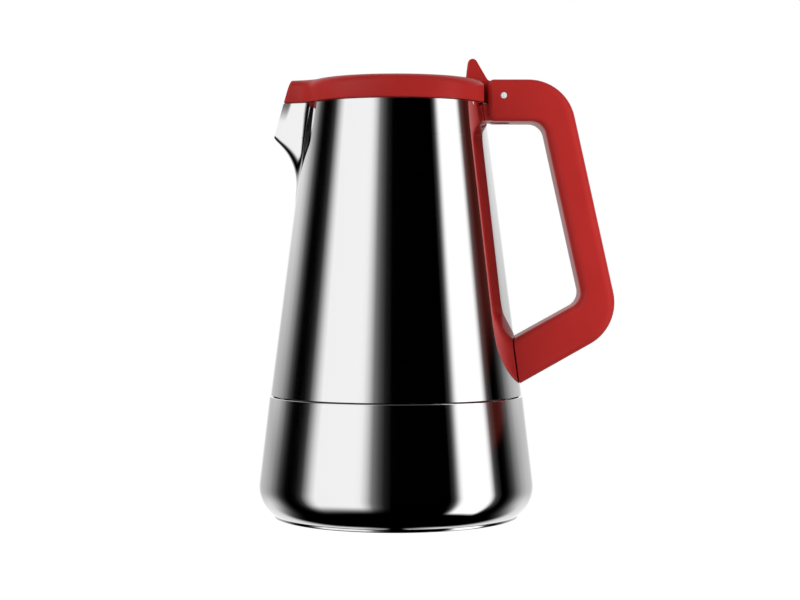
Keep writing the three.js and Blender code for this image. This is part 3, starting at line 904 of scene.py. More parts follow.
@dataclass
class Base:
    """Boiler, base cap and heat spreader."""

    thread: Thread = field(default_factory=Thread)
    rounding: float = 14.0
    rounding_centre: tuple[float, float] = (40.8, 12.4)
    foot: float = 1.45  # height of the boiler's lower rim
    wall: float = 1.2
    lean: float = 7.0  # degrees, inwards
    top: float = 48.35
    top_radius: float = 50.6
    neck_radius: float = 40.0
    neck_bore: float = 38.4
    neck_top: float = 60.5
    cap_radius: float = 48.8
    cap_height: float = 1.25
    cap_rings: tuple[float, ...] = (18.0, 32.0)
    disc_radius: float = 46.3
    disc_top: float = 5.0

    def build(self) -> None:
        """Adds the pieces of the base."""
        self.add_cap()
        self.add_disc()
        self.add_boiler()

    def add_cap(self) -> None:
        """Pressed cap with two shallow rings in its underside and a rolled rim."""
        rings = []
        for radius in self.cap_rings:
            rings += [(radius + run, rise, 0.3) for run, rise in ((0, 0), (0.6, 0.35), (1.4, 0.35), (2, 0))]
        corners = [(0, 0), *rings, (self.cap_radius, 0, 0.5), (self.cap_radius, self.cap_height, 0.25),
                   (self.cap_radius - 2, self.cap_height), (0, self.cap_height)]
        place(solid_revolved("base_cap_pressed", corners), Look.POLISHED, "base", ["base_cap"])

    def add_disc(self) -> None:
        """Aluminium disc between the cap and the boiler's floor."""
        bottom = self.cap_height + 0.2
        corners = [(0, bottom), (self.disc_radius, bottom, 0.2), (self.disc_radius, self.disc_top, 0.3),
                   (0, self.disc_top)]
        place(solid_revolved("diffuser_plate", corners, 96), Look.ROLLED, "base", ["diffuser_disc"])

    def add_boiler(self) -> None:
        """Boiler wall, its neck and the neck's thread."""
        floor = self.disc_top + 0.2
        recess = self.disc_radius + 0.3
        centre_height = self.rounding_centre[1]
        inner_foot = self.foot + self.wall
        inner_rounding = self.rounding - self.wall
        outer = math.degrees(math.asin((self.foot - centre_height) / self.rounding))
        inner = math.degrees(math.asin((inner_foot - centre_height) / inner_rounding))
        corners = [
            (0, floor), (recess, floor, 0.4), (recess, self.foot, 0.3),
            *arc_corners(self.rounding_centre, self.rounding, outer, self.lean, 40),
            (self.top_radius, self.top, 0.35), (self.neck_radius, self.top, 1.0),
            (self.neck_radius, self.neck_top, 0.4), (self.neck_bore, self.neck_top, 0.4),
            (self.neck_bore, self.top - self.wall, 0.8),
            (self.top_radius - self.wall, self.top - self.wall, 0.8),
            *arc_corners(self.rounding_centre, inner_rounding, self.lean, inner, 16),
            (recess + self.wall, inner_foot, 0.6), (recess + self.wall, floor + self.wall, 0.8),
            (0, floor + self.wall),
        ]
        place(solid_revolved("boiler_shell", corners, 256), Look.POLISHED, "base", ["boiler"])
        thread = self.thread
        ridge = thread.ridge("boiler_thread", self.neck_radius - 0.6, thread.neck_crest, thread.start,
                             thread.turns)
        place(ridge, Look.POLISHED, "base")


@dataclass
class SafetyValve:
    """The valve on the back of the boiler. Its pieces are drawn along Z, outwards, and laid down."""

    distance: float = 54.3
    height: float = 30.0
    coil_foot: float = -4.1
    coil_pitch: float = 1.8
    coil_turns: int = 6
    coil_radius: float = 2.25
    coil_wire: float = 0.33
    coil_end: float = 7.05  # stays in place when the stem moves
    coil_keep: float = 0.9

    def put(self, mesh: bpy.types.Mesh, look: Look, body: str, nodes: Sequence[str] = ()) -> bpy.types.Object:
        """Lays a piece down in its place."""
        lay_down(mesh, self.distance, self.height)
        tidy_mesh(mesh)
        return place(mesh, look, body, nodes)

    def build(self) -> None:
        """Adds the boss and the valve's pieces."""
        boss = [(0, -2.4), (8.9, -2.4), (8.5, -0.6, 0.5), (8.5, 0, 0.4), (0, 0)]
        self.put(solid_revolved("valve_boss", boss, 64), Look.POLISHED, "base")
        self.put(self.body(), Look.BRASS, "base", ["valve_body"])
        washer = [(6.9, 0.15, 0.15), (6.9, 0.85, 0.15), (5.2, 0.85, 0.1), (5.2, 0.15, 0.1)]
        self.put(solid_revolved("valve_seal", washer, 64, ring=True), Look.SILICONE, "base", ["valve_washer"])
        self.put(self.nut(), Look.BRASS, "base", ["valve_nut"])
        stem = [(0, -6), (2.9, -6, 0.3), (2.9, -4.8, 0.3), (1, -4.8, 0.2), (1, 10.5, 0.3), (0.7, 11), (0, 11)]
        self.put(solid_revolved("valve_plunger", stem, 32), Look.BRASS, "valve_stem", ["valve_stem"])
        coil = self.put(self.spring(), Look.PLAIN, "base", ["valve_spring"])
        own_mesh(coil)
        keeper = [(3.1, 7.3, 0.1), (3.1, 8.8, 0.2), (1.35, 8.8, 0.2), (1.35, 7.3, 0.1)]
        self.put(solid_revolved("valve_ring", keeper, 48, ring=True), Look.BRASS, "base", ["valve_retainer"])

    def body(self) -> bpy.types.Mesh:
        """Shank with rolled threads, hexagon and bored nose, in one turning."""
        shank, pitch = [], 0.75
        for level in np.arange(-8.0, -0.4, pitch):
            shank += [(4.9, level), (4.55, level + pitch / 2)]
        hexagon = [(4.9, 0), (4.9, 1.0), (6.6, 1.0), (7.5, 1.45), (7.5, 4.55), (6.6, 5.0)]
        nose = [(4.6, 5.0), (4.6, 8.7), (4.3, 9.0), (3.6, 9.0), (3.3, 8.7)]
        bore = [(3.3, -6.2), (1.5, -6.2), (1.5, -8.2)]
        corners = [(4.5, -8.2), *shank, *hexagon, *nose, *bore]
        grid = revolved(rounded_line(corners), 96)
        flats = 1 + len(shank) + 2  # the first row of the hexagon's own four
        grid = hexagonal(grid, slice(flats, flats + 4), across=13.0)
        return mesh_from_grid("valve_housing", grid, Closing.RING)

    def nut(self) -> bpy.types.Mesh:
        """Hexagonal nut with chamfered corners."""
        corners = [(5.2, -7.2), (7.0, -7.2), (7.8, -6.75), (7.8, -4.65), (7.0, -4.2), (5.2, -4.2)]
        grid = hexagonal(revolved(rounded_line(corners), 96), slice(1, 5), across=13.5)
        return mesh_from_grid("valve_locknut", grid, Closing.RING)

    def spring(self) -> bpy.types.Mesh:
        """Compression spring: a wire along a helix."""
        angle = np.linspace(0, 2 * math.pi * self.coil_turns, 28 * self.coil_turns + 1)
        rise = self.coil_foot + self.coil_pitch * angle / (2 * math.pi)
        path = np.column_stack([on_circle(self.coil_radius, angle), rise])
        return mesh_from_grid("valve_coil", tube_along(path, self.coil_wire), Closing.CAPPED)


# ---------------------------------------------------------------- funnel and seals


@dataclass
class Filter:
    """Funnel, its sieve, the gasket and the filter plate."""

    rim_top: float = 61.5
    rim_radius: float = 40.0
    floor: float = 38.0
    basket: float = 36.0
    wall: float = 0.9
    tube: float = 4.9
    tube_bottom: float = 12.0
    seal_top: float = 65.0
    seal_radius: float = 41.0
    hole_pitch: float = 3.2
    hole: float = 0.7
    sheet: float = 0.8

    def build(self) -> None:
        """Adds the four pieces."""
        place(self.funnel(), Look.PLAIN, "funnel", ["funnel"])
        sieve = self.screen("funnel_screen", 34.8, self.floor + 3.2, 31.5)
        place(sieve, Look.PLAIN, "funnel", ["funnel_sieve"])
        bottom, top, bore = self.rim_top + 0.2, self.seal_top, 33.5
        seal = [(self.seal_radius, bottom, 0.6), (self.seal_radius, top, 0.6), (bore, top, 0.5),
                (bore, bottom, 0.5)]
        place(solid_revolved("gasket_ring", seal, 128, ring=True), Look.SILICONE, "gasket", ["gasket"])
        plate = self.screen("filter_screen", self.seal_radius, top + 0.2, 31.0)
        place(plate, Look.PLAIN, "filter_plate", ["filter_plate"])

    def screen(self, name: str, radius: float, bottom: float, field_radius: float) -> bpy.types.Mesh:
        """One of the two perforated plates."""
        top = bottom + self.sheet
        return perforated_plate(name, radius, bottom, top, self.hole_pitch, self.hole, field_radius)

    def funnel(self) -> bpy.types.Mesh:
        """Rim, basket, cone and tube as one pressing."""
        inner, bore = self.basket - self.wall, self.tube - self.wall
        corners = [
            (self.tube, self.tube_bottom, 0.3), (self.tube, self.floor - 8.5, 1.5),
            (self.tube + 1.2, self.floor - 7, 2), (self.basket - 2, self.floor, 3),
            (self.basket, self.floor + 2.5, 3), (self.basket, self.rim_top - 0.8, 0.6),
            (self.rim_radius, self.rim_top - 0.8, 0.35), (self.rim_radius, self.rim_top, 0.35),
            (inner, self.rim_top, 0.9), (inner, self.floor + 2.9, 2.2),
            (self.basket - 2.4, self.floor + 1, 2.2), (bore + 1.3, self.floor - 6.1, 1.5),
            (bore, self.floor - 8, 1.5), (bore, self.tube_bottom, 0.3),
        ]
        return solid_revolved("funnel_pressing", corners, 160, ring=True)


# ---------------------------------------------------------------- collector


@dataclass
class Spout:
    """The drawn-out spout: a keel line, sides that converge towards the tip, and a leaning mouth.

    Attributes:
        keel: four control points of the keel line, in X and Z.
        apex: where the sides would meet, in X.
        side_slope: gain of half width per millimetre along X.
        nose: depth of the rounding beside the keel, as a share of the half width.
        blunt: how much of the half width that rounding takes away at the keel.
        rim: radius of the keel's own edge, as a share of the half width.
        mouth: the top of the mouth's edge, in X and Z.
        lean: run of the mouth's edge per millimetre of height.
        lip_turn: how much less the sides converge in the strip along the mouth's upper edge.
        lip_width: width of that strip.
        lip_softness: width over which it runs out.
        lip_start: height at which it starts.
        lip_growth: the height over which it grows.
    """

    keel: Stops = ((-39.85, 128.0), (-37.93, 143.23), (-47.5, 148.57), (-48.6, 150.8))
    apex: float = -54.0
    side_slope: float = 0.466
    nose: float = 0.62
    blunt: float = 0.34
    rim: float = 0.14
    mouth: tuple[float, float] = (-44.5, 164.5)
    lean: float = 0.30
    lip_turn: float = 0.32
    lip_width: float = 2.8
    lip_softness: float = 1.5
    lip_start: float = 151.0
    lip_growth: float = 12.0

    def keel_line(self) -> tuple[np.ndarray, np.ndarray]:
        """The keel as a cubic curve through its four control points.

        Returns:
            Heights, rising, and the keel's X at each; the line runs on straight above the lip.
        """
        t = np.linspace(0, 1, 200)[:, None]
        weights = np.hstack([(1 - t) ** 3, 3 * (1 - t) ** 2 * t, 3 * (1 - t) * t ** 2, t ** 3])
        points = weights @ np.array(self.keel)
        beyond = points[-1] + (points[-1] - points[-40]) * 30
        points = np.vstack([points, beyond])
        return points[:, 1], points[:, 0]

    def mouth_x(self, height: np.ndarray) -> np.ndarray:
        """X of the mouth's edge at a height."""
        return self.mouth[0] + (height - self.mouth[1]) * self.lean

    def lip(self) -> float:
        """Finds where the keel meets the mouth.

        Returns:
            The height.
        """
        heights, keel = self.keel_line()
        ahead = keel - self.mouth_x(heights)
        last = int(np.argmax(ahead < 0))
        share = ahead[last - 1] / (ahead[last - 1] - ahead[last])
        return float(heights[last - 1] + share * (heights[last] - heights[last - 1]))

    def half_width(self, x: np.ndarray, height: np.ndarray) -> np.ndarray:
        """Half of the spout's width at a place along it.

        A side stands at f = slope (x - apex). Beside the blunt keel it is rounded,
        f (1 - blunt (1 - u)^2) with u the distance from the keel over nose f, and less a quarter
        circle of radius rim f at the very edge. Along the mouth a strip turns outwards: it adds
        turn (width - v) for a distance v from the mouth's edge, run out softly, times
        1.2 h / (h + 0.2) with h = ((height - start) / growth)^2.

        Args:
            x: places along the spout.
            height: heights.

        Returns:
            The half width, 0 outside the keel.
        """
        heights, keel = self.keel_line()
        slope = np.gradient(keel, heights)
        off = (x - np.interp(height, heights, keel)) / np.hypot(1, np.interp(height, heights, slope))
        side = np.maximum(self.side_slope * (x - self.apex), 0.3)
        near = np.clip(off / (self.nose * side), 0, 1)
        at_edge = 1 - np.clip(off / (self.rim * side), 0, 1)
        rim = self.rim * (1 - np.sqrt(1 - at_edge ** 2))
        nose = side * (1 - self.blunt * (1 - near) ** 2 - rim) * (off >= 0)
        from_mouth = np.maximum(x - self.mouth_x(height), 0)
        reach = self.lip_width + self.lip_softness
        fading = np.clip(reach - from_mouth, 0, self.lip_softness)
        strip = fading ** 2 / (2 * self.lip_softness) + np.maximum(self.lip_width - from_mouth, 0)
        high = np.maximum((height - self.lip_start) / self.lip_growth, 0) ** 2
        return nose + self.lip_turn * 1.2 * high / (high + 0.2) * strip * near


@dataclass
class Collector:
    """The tapered upper vessel with its threaded cup, column and brackets."""

    thread: Thread = field(default_factory=Thread)
    spout: Spout = field(default_factory=Spout)
    bottom: float = 48.85
    top: float = 164.3
    bottom_radius: float = 50.2
    taper: float = 0.1302  # loss of radius per millimetre of height
    wall: float = 1.0
    fillet: float = 3.4
    spout_foot: float = 124.0
    reach: float = 60.0  # beyond the spout's tip
    ceiling: float = 66.3
    cup_wall: float = 1.2
    column_top: float = 131.0

    def radius(self, height: np.ndarray | float) -> np.ndarray | float:
        """Outer radius of the tapered wall at a height."""
        return self.bottom_radius - (height - self.bottom) * self.taper

    def build(self) -> None:
        """Adds the collector's pieces."""
        self.add_vessel()
        self.add_cup()
        self.add_column()
        self.add_brackets()

    def cone(self, name: str, offset: float, bottom: float, top: float | None = None) -> bpy.types.Mesh:
        """A solid cone that follows the wall.

        Args:
            name: the mesh's name.
            offset: its distance outside the wall.
            bottom: height of its lower end.
            top: height of its upper end, which is else the rim's.

        Returns:
            The closed mesh.
        """
        top = top or self.top
        low, high = self.radius(bottom) + offset, self.radius(top) + offset
        corners = [(0, bottom), (low, bottom), (high, top), (0, top)]
        return solid_revolved(name, corners, 256)

    def add_vessel(self) -> None:
        """The wall and the spout as one sheet that is given its thickness inwards.

        Around each height the radius is the smooth maximum of the tapered wall and the spout. The
        spout's radius solves r sin(a) = half width(-r cos(a)) by halving an interval. The sheet runs
        from one edge of the mouth around the back to the other, and meets itself below the lip.
        """
        lip = self.spout.lip()
        heights = np.concatenate([
            np.linspace(self.bottom, self.spout_foot, 14)[:-1], np.linspace(self.spout_foot, lip, 56),
            lip + (self.top - lip) * np.linspace(0, 1, 34)[1:] ** 1.7,
        ])[:, None]
        mouth = self.spout.mouth_x(heights)
        edge = np.where(heights > lip, self.spout.half_width(mouth, heights), 0)
        first = np.arctan2(edge, -mouth)
        share = np.linspace(0, 1, 181)[None]
        angle = first + (np.pi - first) * (0.2 * share + 0.8 * share ** 3)
        cone = self.radius(heights) + 0 * angle
        sunk = cone - 4  # deep enough under the wall to leave no trace
        low, high = sunk, np.full_like(cone, self.reach)
        for _ in range(40):
            middle = (low + high) / 2
            inside = self.spout.half_width(-middle * np.cos(angle), heights) > middle * np.sin(angle)
            low, high = np.where(inside, middle, low), np.where(inside, high, middle)
        drawn = np.where(angle < np.pi / 2, low, sunk)
        at_front = (angle <= first + 1e-9) & (heights > lip)
        drawn = np.where(at_front, -mouth / np.cos(angle), drawn)
        drawn = np.where(heights > lip, np.minimum(drawn, -mouth / np.maximum(np.cos(angle), 0.1)), drawn)
        # The fillet runs out towards the keel and is tighter low on the spout.
        blend = self.fillet * np.clip(angle / math.radians(9), 0.02, 1)
        blend = blend * np.clip((heights - 132) / 28, 0.4, 1)
        radius = np.maximum(cone, drawn) + np.maximum(blend - np.abs(cone - drawn), 0) ** 2 / (4 * blend)
        x, y, z = -radius * np.cos(angle), radius * np.sin(angle), heights + 0 * angle
        near = np.stack([x, -y, z], axis=2)
        far = np.stack([x, y, z], axis=2)[:, -2::-1]
        around = np.concatenate([near, far], axis=1)
        mesh = mesh_from_grid("collector_vessel", around, Closing.OPEN, wrap=False)
        vessel = place(mesh, Look.POLISHED, "collector", ["collector"])
        shell = vessel.modifiers.new("wall", "SOLIDIFY")
        shell.thickness, shell.offset = self.wall * MM, -1.0
        shell.use_even_offset = False
        apply_modifiers(vessel)
        smooth(vessel.data, 40)

    def add_cup(self) -> None:
        """Threaded cup inside the skirt, with the coffee chamber's raised floor."""
        floor = self.ceiling + self.cup_wall
        rim = self.radius(floor) - self.wall - 0.3
        corners = [
            (42.4, self.bottom + 0.4, 0.4), (43.6, self.bottom + 0.4, 0.4), (43.6, self.ceiling, 1.0),
            (rim, self.ceiling, 0.3), (rim, floor, 0.3), (29.6, floor, 6), (5.3, floor + 5.2, 0.3),
            (5.3, self.ceiling + 5.2, 0.3), (30, self.ceiling, 6), (42.4, self.ceiling, 0.8),
        ]
        cup = solid_revolved("thread_cup_pressing", corners, ring=True)
        place(cup, Look.PLAIN, "collector", ["thread_cup"])
        thread = self.thread
        ridge = thread.ridge("cup_thread", 43.0, thread.cup_crest, thread.start + thread.pitch / 2,
                             thread.turns - 0.5)
        place(ridge, Look.PLAIN, "collector")

    def add_column(self) -> None:
        """Column with a flange at its foot and two outlets, and its domed cap."""
        bottom = self.ceiling + 4.4
        flange = bottom + 2.4
        corners = [
            (5.0, bottom, 0.2), (5.0, flange), (7.4, flange, 0.3), (7.4, flange + 0.8, 0.3),
            (5.0, flange + 0.8, 0.6), (4.6, self.column_top, 0.3), (3.7, self.column_top, 0.3),
            (4.0, bottom, 0.2),
        ]
        tube = solid_revolved("column_tube", corners, 96, ring=True)
        high, low = self.column_top - 2.5, self.column_top - 8.5
        window = box_mesh("outlet", (-8, 8), (low, high), 2.5)
        place(carve(tube, [window]), Look.PLAIN, "collector", ["column"])
        seat = self.column_top + 0.2
        dome = [(0, seat - 2), (3.3, seat - 2, 0.2), (3.3, seat), (5.2, seat, 0.2), (5.2, seat + 1.4, 1.2),
                (3.6, seat + 3, 1.5), (0, seat + 3.6)]
        place(solid_revolved("column_dome", dome, 64), Look.PLAIN, "collector", ["column_cap"])

    def add_brackets(self) -> None:
        """The two steel tabs that carry the handle."""
        low = 161.1
        upper = [
            Corner(33, low, 0.3, 0.3), Corner(47, low, 0.6, 0.3), Corner(47, low + 1.4, 0.6, 0.3),
            Corner(37.4, low + 1.4, 0.6, 0.3), Corner(36.6, low + 3.2, 0.4, 0.3),
            Corner(33, low + 3.2, 0.3, 0.3),
        ]
        wall = self.cone("wall_line", 0.15, 150, self.top + 2)
        tab = carve(slab_mesh("upper_tab", upper, 4.0), [wall])
        place(tab, Look.PLAIN, "collector", ["upper_bracket"])
        lower = [Corner(46, 61.4, 0.3, 0.3), Corner(56, 61.4, 0.6, 0.3), Corner(56, 64.4, 0.6, 0.3),
                 Corner(46, 64.4, 0.3, 0.3)]
        wall = self.cone("wall_line", 0.15, 50, 75)
        place(carve(slab_mesh("lower_tab", lower, 4.0), [wall]), Look.PLAIN, "collector", ["lower_bracket"])


# ---------------------------------------------------------------- handle


def round_cutter(radius: float, bottom: float, top: float) -> bpy.types.Mesh:
    """A round cutter along Z."""
    return solid_revolved("hole", [(0, bottom), (radius, bottom), (radius, top), (0, top)], 48)


@dataclass
class Handle:
    """Side handle with its screw and the lid's hinge pin."""

    collector: Collector
    width: float = 22.0
    pin: tuple[float, float] = (42.43, 167.16)
    pin_radius: float = 1.3
    screw_x: float = 41.5
    screw_top: float = 159.4
    slot_half: float = 4.7
    outline: tuple[Corner, ...] = (
        Corner(36.2, 173.58, 2.5, 2.2), Corner(36.2, 157.05, 2.8, 2.2), Corner(58.03, 157.05, 6.1, 3.3),
        Corner(73.74, 86.36, 6.2, 3.3), Corner(42.0, 68.75, 0.4, 1.0), Corner(44.0, 50.56, 0.4, 3.4),
        Corner(89.1, 76.0, 18.8, 3.9), Corner(67.35, 173.58, 18.7, 2.2),
    )

    def build(self) -> None:
        """Adds the handle, its screw and the pin."""
        body = slab_mesh("handle_moulding", self.outline, self.width / 2, steps=14, rings=9, side_points=3)
        cutters = [self.slot(), self.counterbore(), self.upright_hole(1.8, 155, 162), self.cross_hole(),
                   self.tab_socket(), self.collector.cone("wall_clearance", 0.3, 45)]
        place(carve(body, cutters, edge=0.22), Look.NYLON, "collector", ["handle"])
        self.add_seat()
        self.add_screw()
        self.add_pin()

    def slot(self) -> bpy.types.Mesh:
        """The slot in the block that the lid's tab swings in."""
        corners = [Corner(30, 180, 0, SQUARE), Corner(30, 160.8, 0, SQUARE), Corner(53, 160.8, 1.5, SQUARE),
                   Corner(53, 180, 0, SQUARE)]
        return slab_mesh("slot", corners, self.slot_half, steps=4, rings=1)

    def add_seat(self) -> None:
        """The block's seat, which follows the tapered wall and closes the gap beside it."""
        seat = box_mesh("handle_seat", (33, 39), (157.4, 163.9), 9.4, edge=0.6, rings=7)
        tab_way = box_mesh("way", (30, 53), (160.6, 180), self.slot_half)
        cutters = [tab_way, self.counterbore(), self.collector.cone("seat_clearance", 0.12, 45)]
        place(carve(seat, cutters), Look.NYLON, "collector")

    def tab_socket(self) -> bpy.types.Mesh:
        """The socket for the lower tab."""
        return box_mesh("socket", (40, 56.3), (61.1, 64.7), 4.3)

    def upright_hole(self, radius: float, bottom: float, top: float) -> bpy.types.Mesh:
        """A round cutter under the block."""
        return shifted(round_cutter(radius, bottom, top), self.screw_x, 0)

    def counterbore(self) -> bpy.types.Mesh:
        """The cutter for the hole that the screw's head sits in."""
        return self.upright_hole(4.0, 150, self.screw_top + 0.2)

    def cross_hole(self) -> bpy.types.Mesh:
        """The cutter for the pin, along Y."""
        return self.across(round_cutter(self.pin_radius + 0.12, -20, 20))

    def across(self, mesh: bpy.types.Mesh) -> bpy.types.Mesh:
        """Turns a mesh drawn along Z to lie along Y on the pin's axis."""
        return shifted(lay_down(mesh, 0, 0), *self.pin)

    def add_screw(self) -> None:
        """Round-headed screw in its counterbore, with a slot across its head."""
        top = self.screw_top
        corners = [(0, top - 1.9), (2.6, top - 1.9), (3.2, top - 1.3, 0.4), (3.2, top, 0.2), (1.5, top, 0.1),
                   (1.5, 162.5, 0.2), (0, 162.7)]
        screw = solid_revolved("handle_screw_head", corners, 48)
        groove = box_mesh("groove", (-4, 4), (top - 4, top - 1.3), 0.5)
        screw = shifted(carve(screw, [groove]), self.screw_x, 0)
        place(screw, Look.PLAIN, "collector", ["handle_screw"])

    def add_pin(self) -> None:
        """Hinge pin with softly domed ends."""
        half, radius = self.width / 2, self.pin_radius
        corners = [(0, -half), (0.6 * radius, -half + 0.02), (radius, -half + 0.2, 0.25),
                   (radius, half - 0.2, 0.25), (0.6 * radius, half - 0.02), (0, half)]
        pin = self.across(solid_revolved("hinge_rod", corners, 48))
        tidy_mesh(pin)
        # The pin's matte white finish is a painted highlight in place of its polished ends' glint.
        place(pin, Look.PIN, "collector", ["hinge_pin"])


# ---------------------------------------------------------------- lid


@dataclass
class Lid:
    """Moulded lid: round cover with a beak over the spout, plug ring, tab and thumb lever.

    Attributes:
        spout: the spout, whose leaning mouth the beak's front continues.
        bottom: height of the cover's underside.
        top: height of its flat top.
        radius: radius of the cover.
        lower_edge: rounding of the lower edge.
        run: radial depth of the rounded upper edge.
        rise: height of the rounded upper edge.
        front_edge: rounding of the upper edge of the beak's front.
        join: bearing from the axis at which the hollow side of the beak meets the round cover.
        hollow: radius of that hollow side.
        side: bearing that the beak's straight side faces, in degrees from -X.
        tip_rounding: rounding of the beak's front corners.
        back: distance from the axis to the flat back.
        back_rounding: rounding of the back's corners.
        plug_radius: outer radius of the ring that fits in the collector.
        plug_depth: how far it reaches down.
        plug_gap: half of the width of its gap in front of the spout.
        hollow_radius: its inner radius.
        wall: thickness of the cover.
        lever_width: width of the tab and lever.
        lever: outline of the tab and lever.
    """

    spout: Spout
    bottom: float = 164.5
    top: float = 173.62
    radius: float = 36.5
    lower_edge: float = 0.4
    run: float = 4.8
    rise: float = 4.0
    front_edge: float = 0.5
    join: float = 23.8
    hollow: float = 12.0
    side: float = 72.0
    tip_rounding: float = 0.8
    back: float = 34.6
    back_rounding: float = 7.0
    plug_radius: float = 32.6
    plug_depth: float = 3.0
    plug_gap: float = 9.5
    hollow_radius: float = 30.5
    wall: float = 2.2
    lever_width: float = 8.4
    lever: tuple[Corner, ...] = (
        Corner(31.0, 169.6, 0.2, 0.6), Corner(31.0, 164.9, 0.2, 0.6), Corner(37.6, 164.9, 0.8, 0.6),
        Corner(39.4, 162.9, 2.0, 0.8), Corner(46.7, 162.9, 4.2, 0.8), Corner(46.7, 171.4, 4.2, 0.8),
        Corner(41.4, 171.7, 2.0, 0.7), Corner(36.3, 174.0, 2.0, 0.7), Corner(29.2, 186.2, 1.87, 0.7),
        Corner(27.2, 169.6, 1.0, 0.6),
    )

    def build(self) -> None:
        """Adds the cover and the lever."""
        place(self.cover(), Look.NYLON, "lid", ["lid"])
        lever = slab_mesh("lid_lever", self.lever, self.lever_width / 2, steps=8, rings=6)
        place(lever, Look.NYLON, "lid")

    def outline(self, inset: float, level: float, middle: float, set_back: float) -> np.ndarray:
        """The lid's outline, seen from above, moved inwards from its side.

        The round cover of radius R - inset runs tangentially into the beak's hollow side, an arc of
        radius h + inset about a fixed centre, and that into the beak's straight side. The front
        lies in the plane of the mouth: x = mouth(height) + its own setting back.

        Args:
            inset: how far the side has moved inwards.
            level: height of the outline along the side.
            middle: height of the outline in the middle of the beak's front.
            set_back: how far the front has moved back.

        Returns:
            Points around the lid, one half and its mirror image, in X, Y and Z.
        """
        join, side = math.radians(180 - self.join), math.radians(180 - self.side)
        centre = (self.radius + self.hollow) * np.array([math.cos(join), math.sin(join)])
        angles = np.linspace(side, join, 26)
        arc = centre - on_circle(self.hollow + inset, angles)
        along = np.array([math.sin(side), -math.cos(side)])
        front = float(self.spout.mouth_x(np.float64(level))) + set_back
        corner = arc[0] + along * (front - arc[0, 0]) / along[0]
        tip = corner_arc((front, 0), tuple(corner), tuple(arc[0]), self.tip_rounding, 6)
        straight = tip[-1] + np.linspace(0, 1, 7)[1:-1, None] * (arc[0] - tip[-1])
        edge = np.column_stack([np.full(6, front), tip[0, 1] * np.linspace(0, 1, 7)[:-1]])
        radius = self.radius - inset
        back = min(self.back, 0.972 * radius)
        corner_y = math.sqrt(radius ** 2 - back ** 2)
        last = math.atan2(corner_y, back)
        behind = (back - 10 * math.sin(last), corner_y + 10 * math.cos(last))
        rounding = corner_arc(behind, (back, corner_y), (back, 0), self.back_rounding - 0.5 * inset, 6)
        bearing = math.atan2(rounding[0, 1], rounding[0, 0])
        angles = np.linspace(join, bearing, 72)[1:-1]
        circle = on_circle(radius, angles)
        flat = np.column_stack([np.full(3, back), rounding[-1, 1] * np.array([0.66, 0.33, 0.0])])
        half = np.vstack([edge, tip, straight, arc, circle, rounding, flat])
        heights = np.full(len(half), level)
        heights[:len(edge)] = np.linspace(middle, level, len(edge) + 1)[:-1]
        half[:len(edge), 0] = self.spout.mouth_x(heights[:len(edge)]) + set_back
        whole = np.column_stack([half, heights])
        return np.vstack([whole, whole[-2:0:-1] * np.array([1, -1, 1])])

    def cover(self) -> bpy.types.Mesh:
        """Cover, beak and plug ring as one closed surface.

        Rows follow the outline: up the wall, over the edge as a quarter of an ellipse with run
        (1 - cos t) and rise (1 - sin t), across the top to its middle, and back underneath through
        the plug ring and the hollow.
        """
        rows = []
        for turn in np.radians([90, 60, 30, 0]):
            inset = self.lower_edge * (1 - math.cos(turn))
            level = self.bottom + self.lower_edge * (1 - math.sin(turn))
            rows.append(self.outline(inset, level, level, inset))
        for turn in np.radians(np.linspace(0, 90, 13)):
            run, rise = 1 - math.cos(turn), 1 - math.sin(turn)
            level, middle = self.top - self.rise * rise, self.top - self.front_edge * rise
            rows.append(self.outline(self.run * run, level, middle, self.front_edge * run))
        brink = rows[-1]
        for share in (0.98, 0.6, 0.3, 0.0):
            rows.append(brink * np.array([share, share, 1.0]))
        bearing = np.arctan2(rows[0][:, 1], rows[0][:, 0])
        gap = (np.abs(rows[0][:, 1]) < self.plug_gap) & (rows[0][:, 0] < 0)
        low = np.where(gap, self.bottom - 0.05, self.bottom - self.plug_depth)
        ceiling, flat, edge = self.top - self.wall, 0 * low, 0.3
        under = [(self.plug_radius + 0.4, self.bottom + flat), (self.plug_radius, low + edge * ~gap),
                 (self.plug_radius - edge, low), (self.hollow_radius + edge, low),
                 (self.hollow_radius, low + edge * ~gap), (self.hollow_radius, ceiling - 1.5 + flat),
                 (self.hollow_radius - 0.6, ceiling - 0.5 + flat), (self.hollow_radius - 2, ceiling + flat),
                 (0.0, ceiling + flat)]
        back = [np.column_stack([on_circle(radius, bearing), level]) for radius, level in under]
        return mesh_from_grid("lid_cover", np.array([*back[::-1], *rows]), Closing.SHELL)


# ---------------------------------------------------------------- studio


@dataclass(frozen=True)
class Lamp:
    """A soft lamp that lights the pot but isn't mirrored in it.

    Attributes:
        name: the lamp's name.
        place: its position, in metres.
        aim: the point that it faces, in metres.
        size: its width and height, in metres.
        power: its power, in watts.
    """

    name: str
    place: tuple[float, float, float]
    aim: tuple[float, float, float]
    size: tuple[float, float]
    power: float

    def add(self) -> None:
        """Adds the lamp to the scene."""
        data = bpy.data.lights.new(self.name, "AREA")
        data.shape, data.size, data.size_y = "RECTANGLE", *self.size
        data.energy = self.power
        lamp = linked(self.name, data)
        lamp.location = self.place
        way = Vector(self.aim) - Vector(self.place)
        lamp.rotation_euler = way.to_track_quat("-Z", "Y").to_euler()
        lamp.visible_glossy = False
        lamp.visible_camera = False


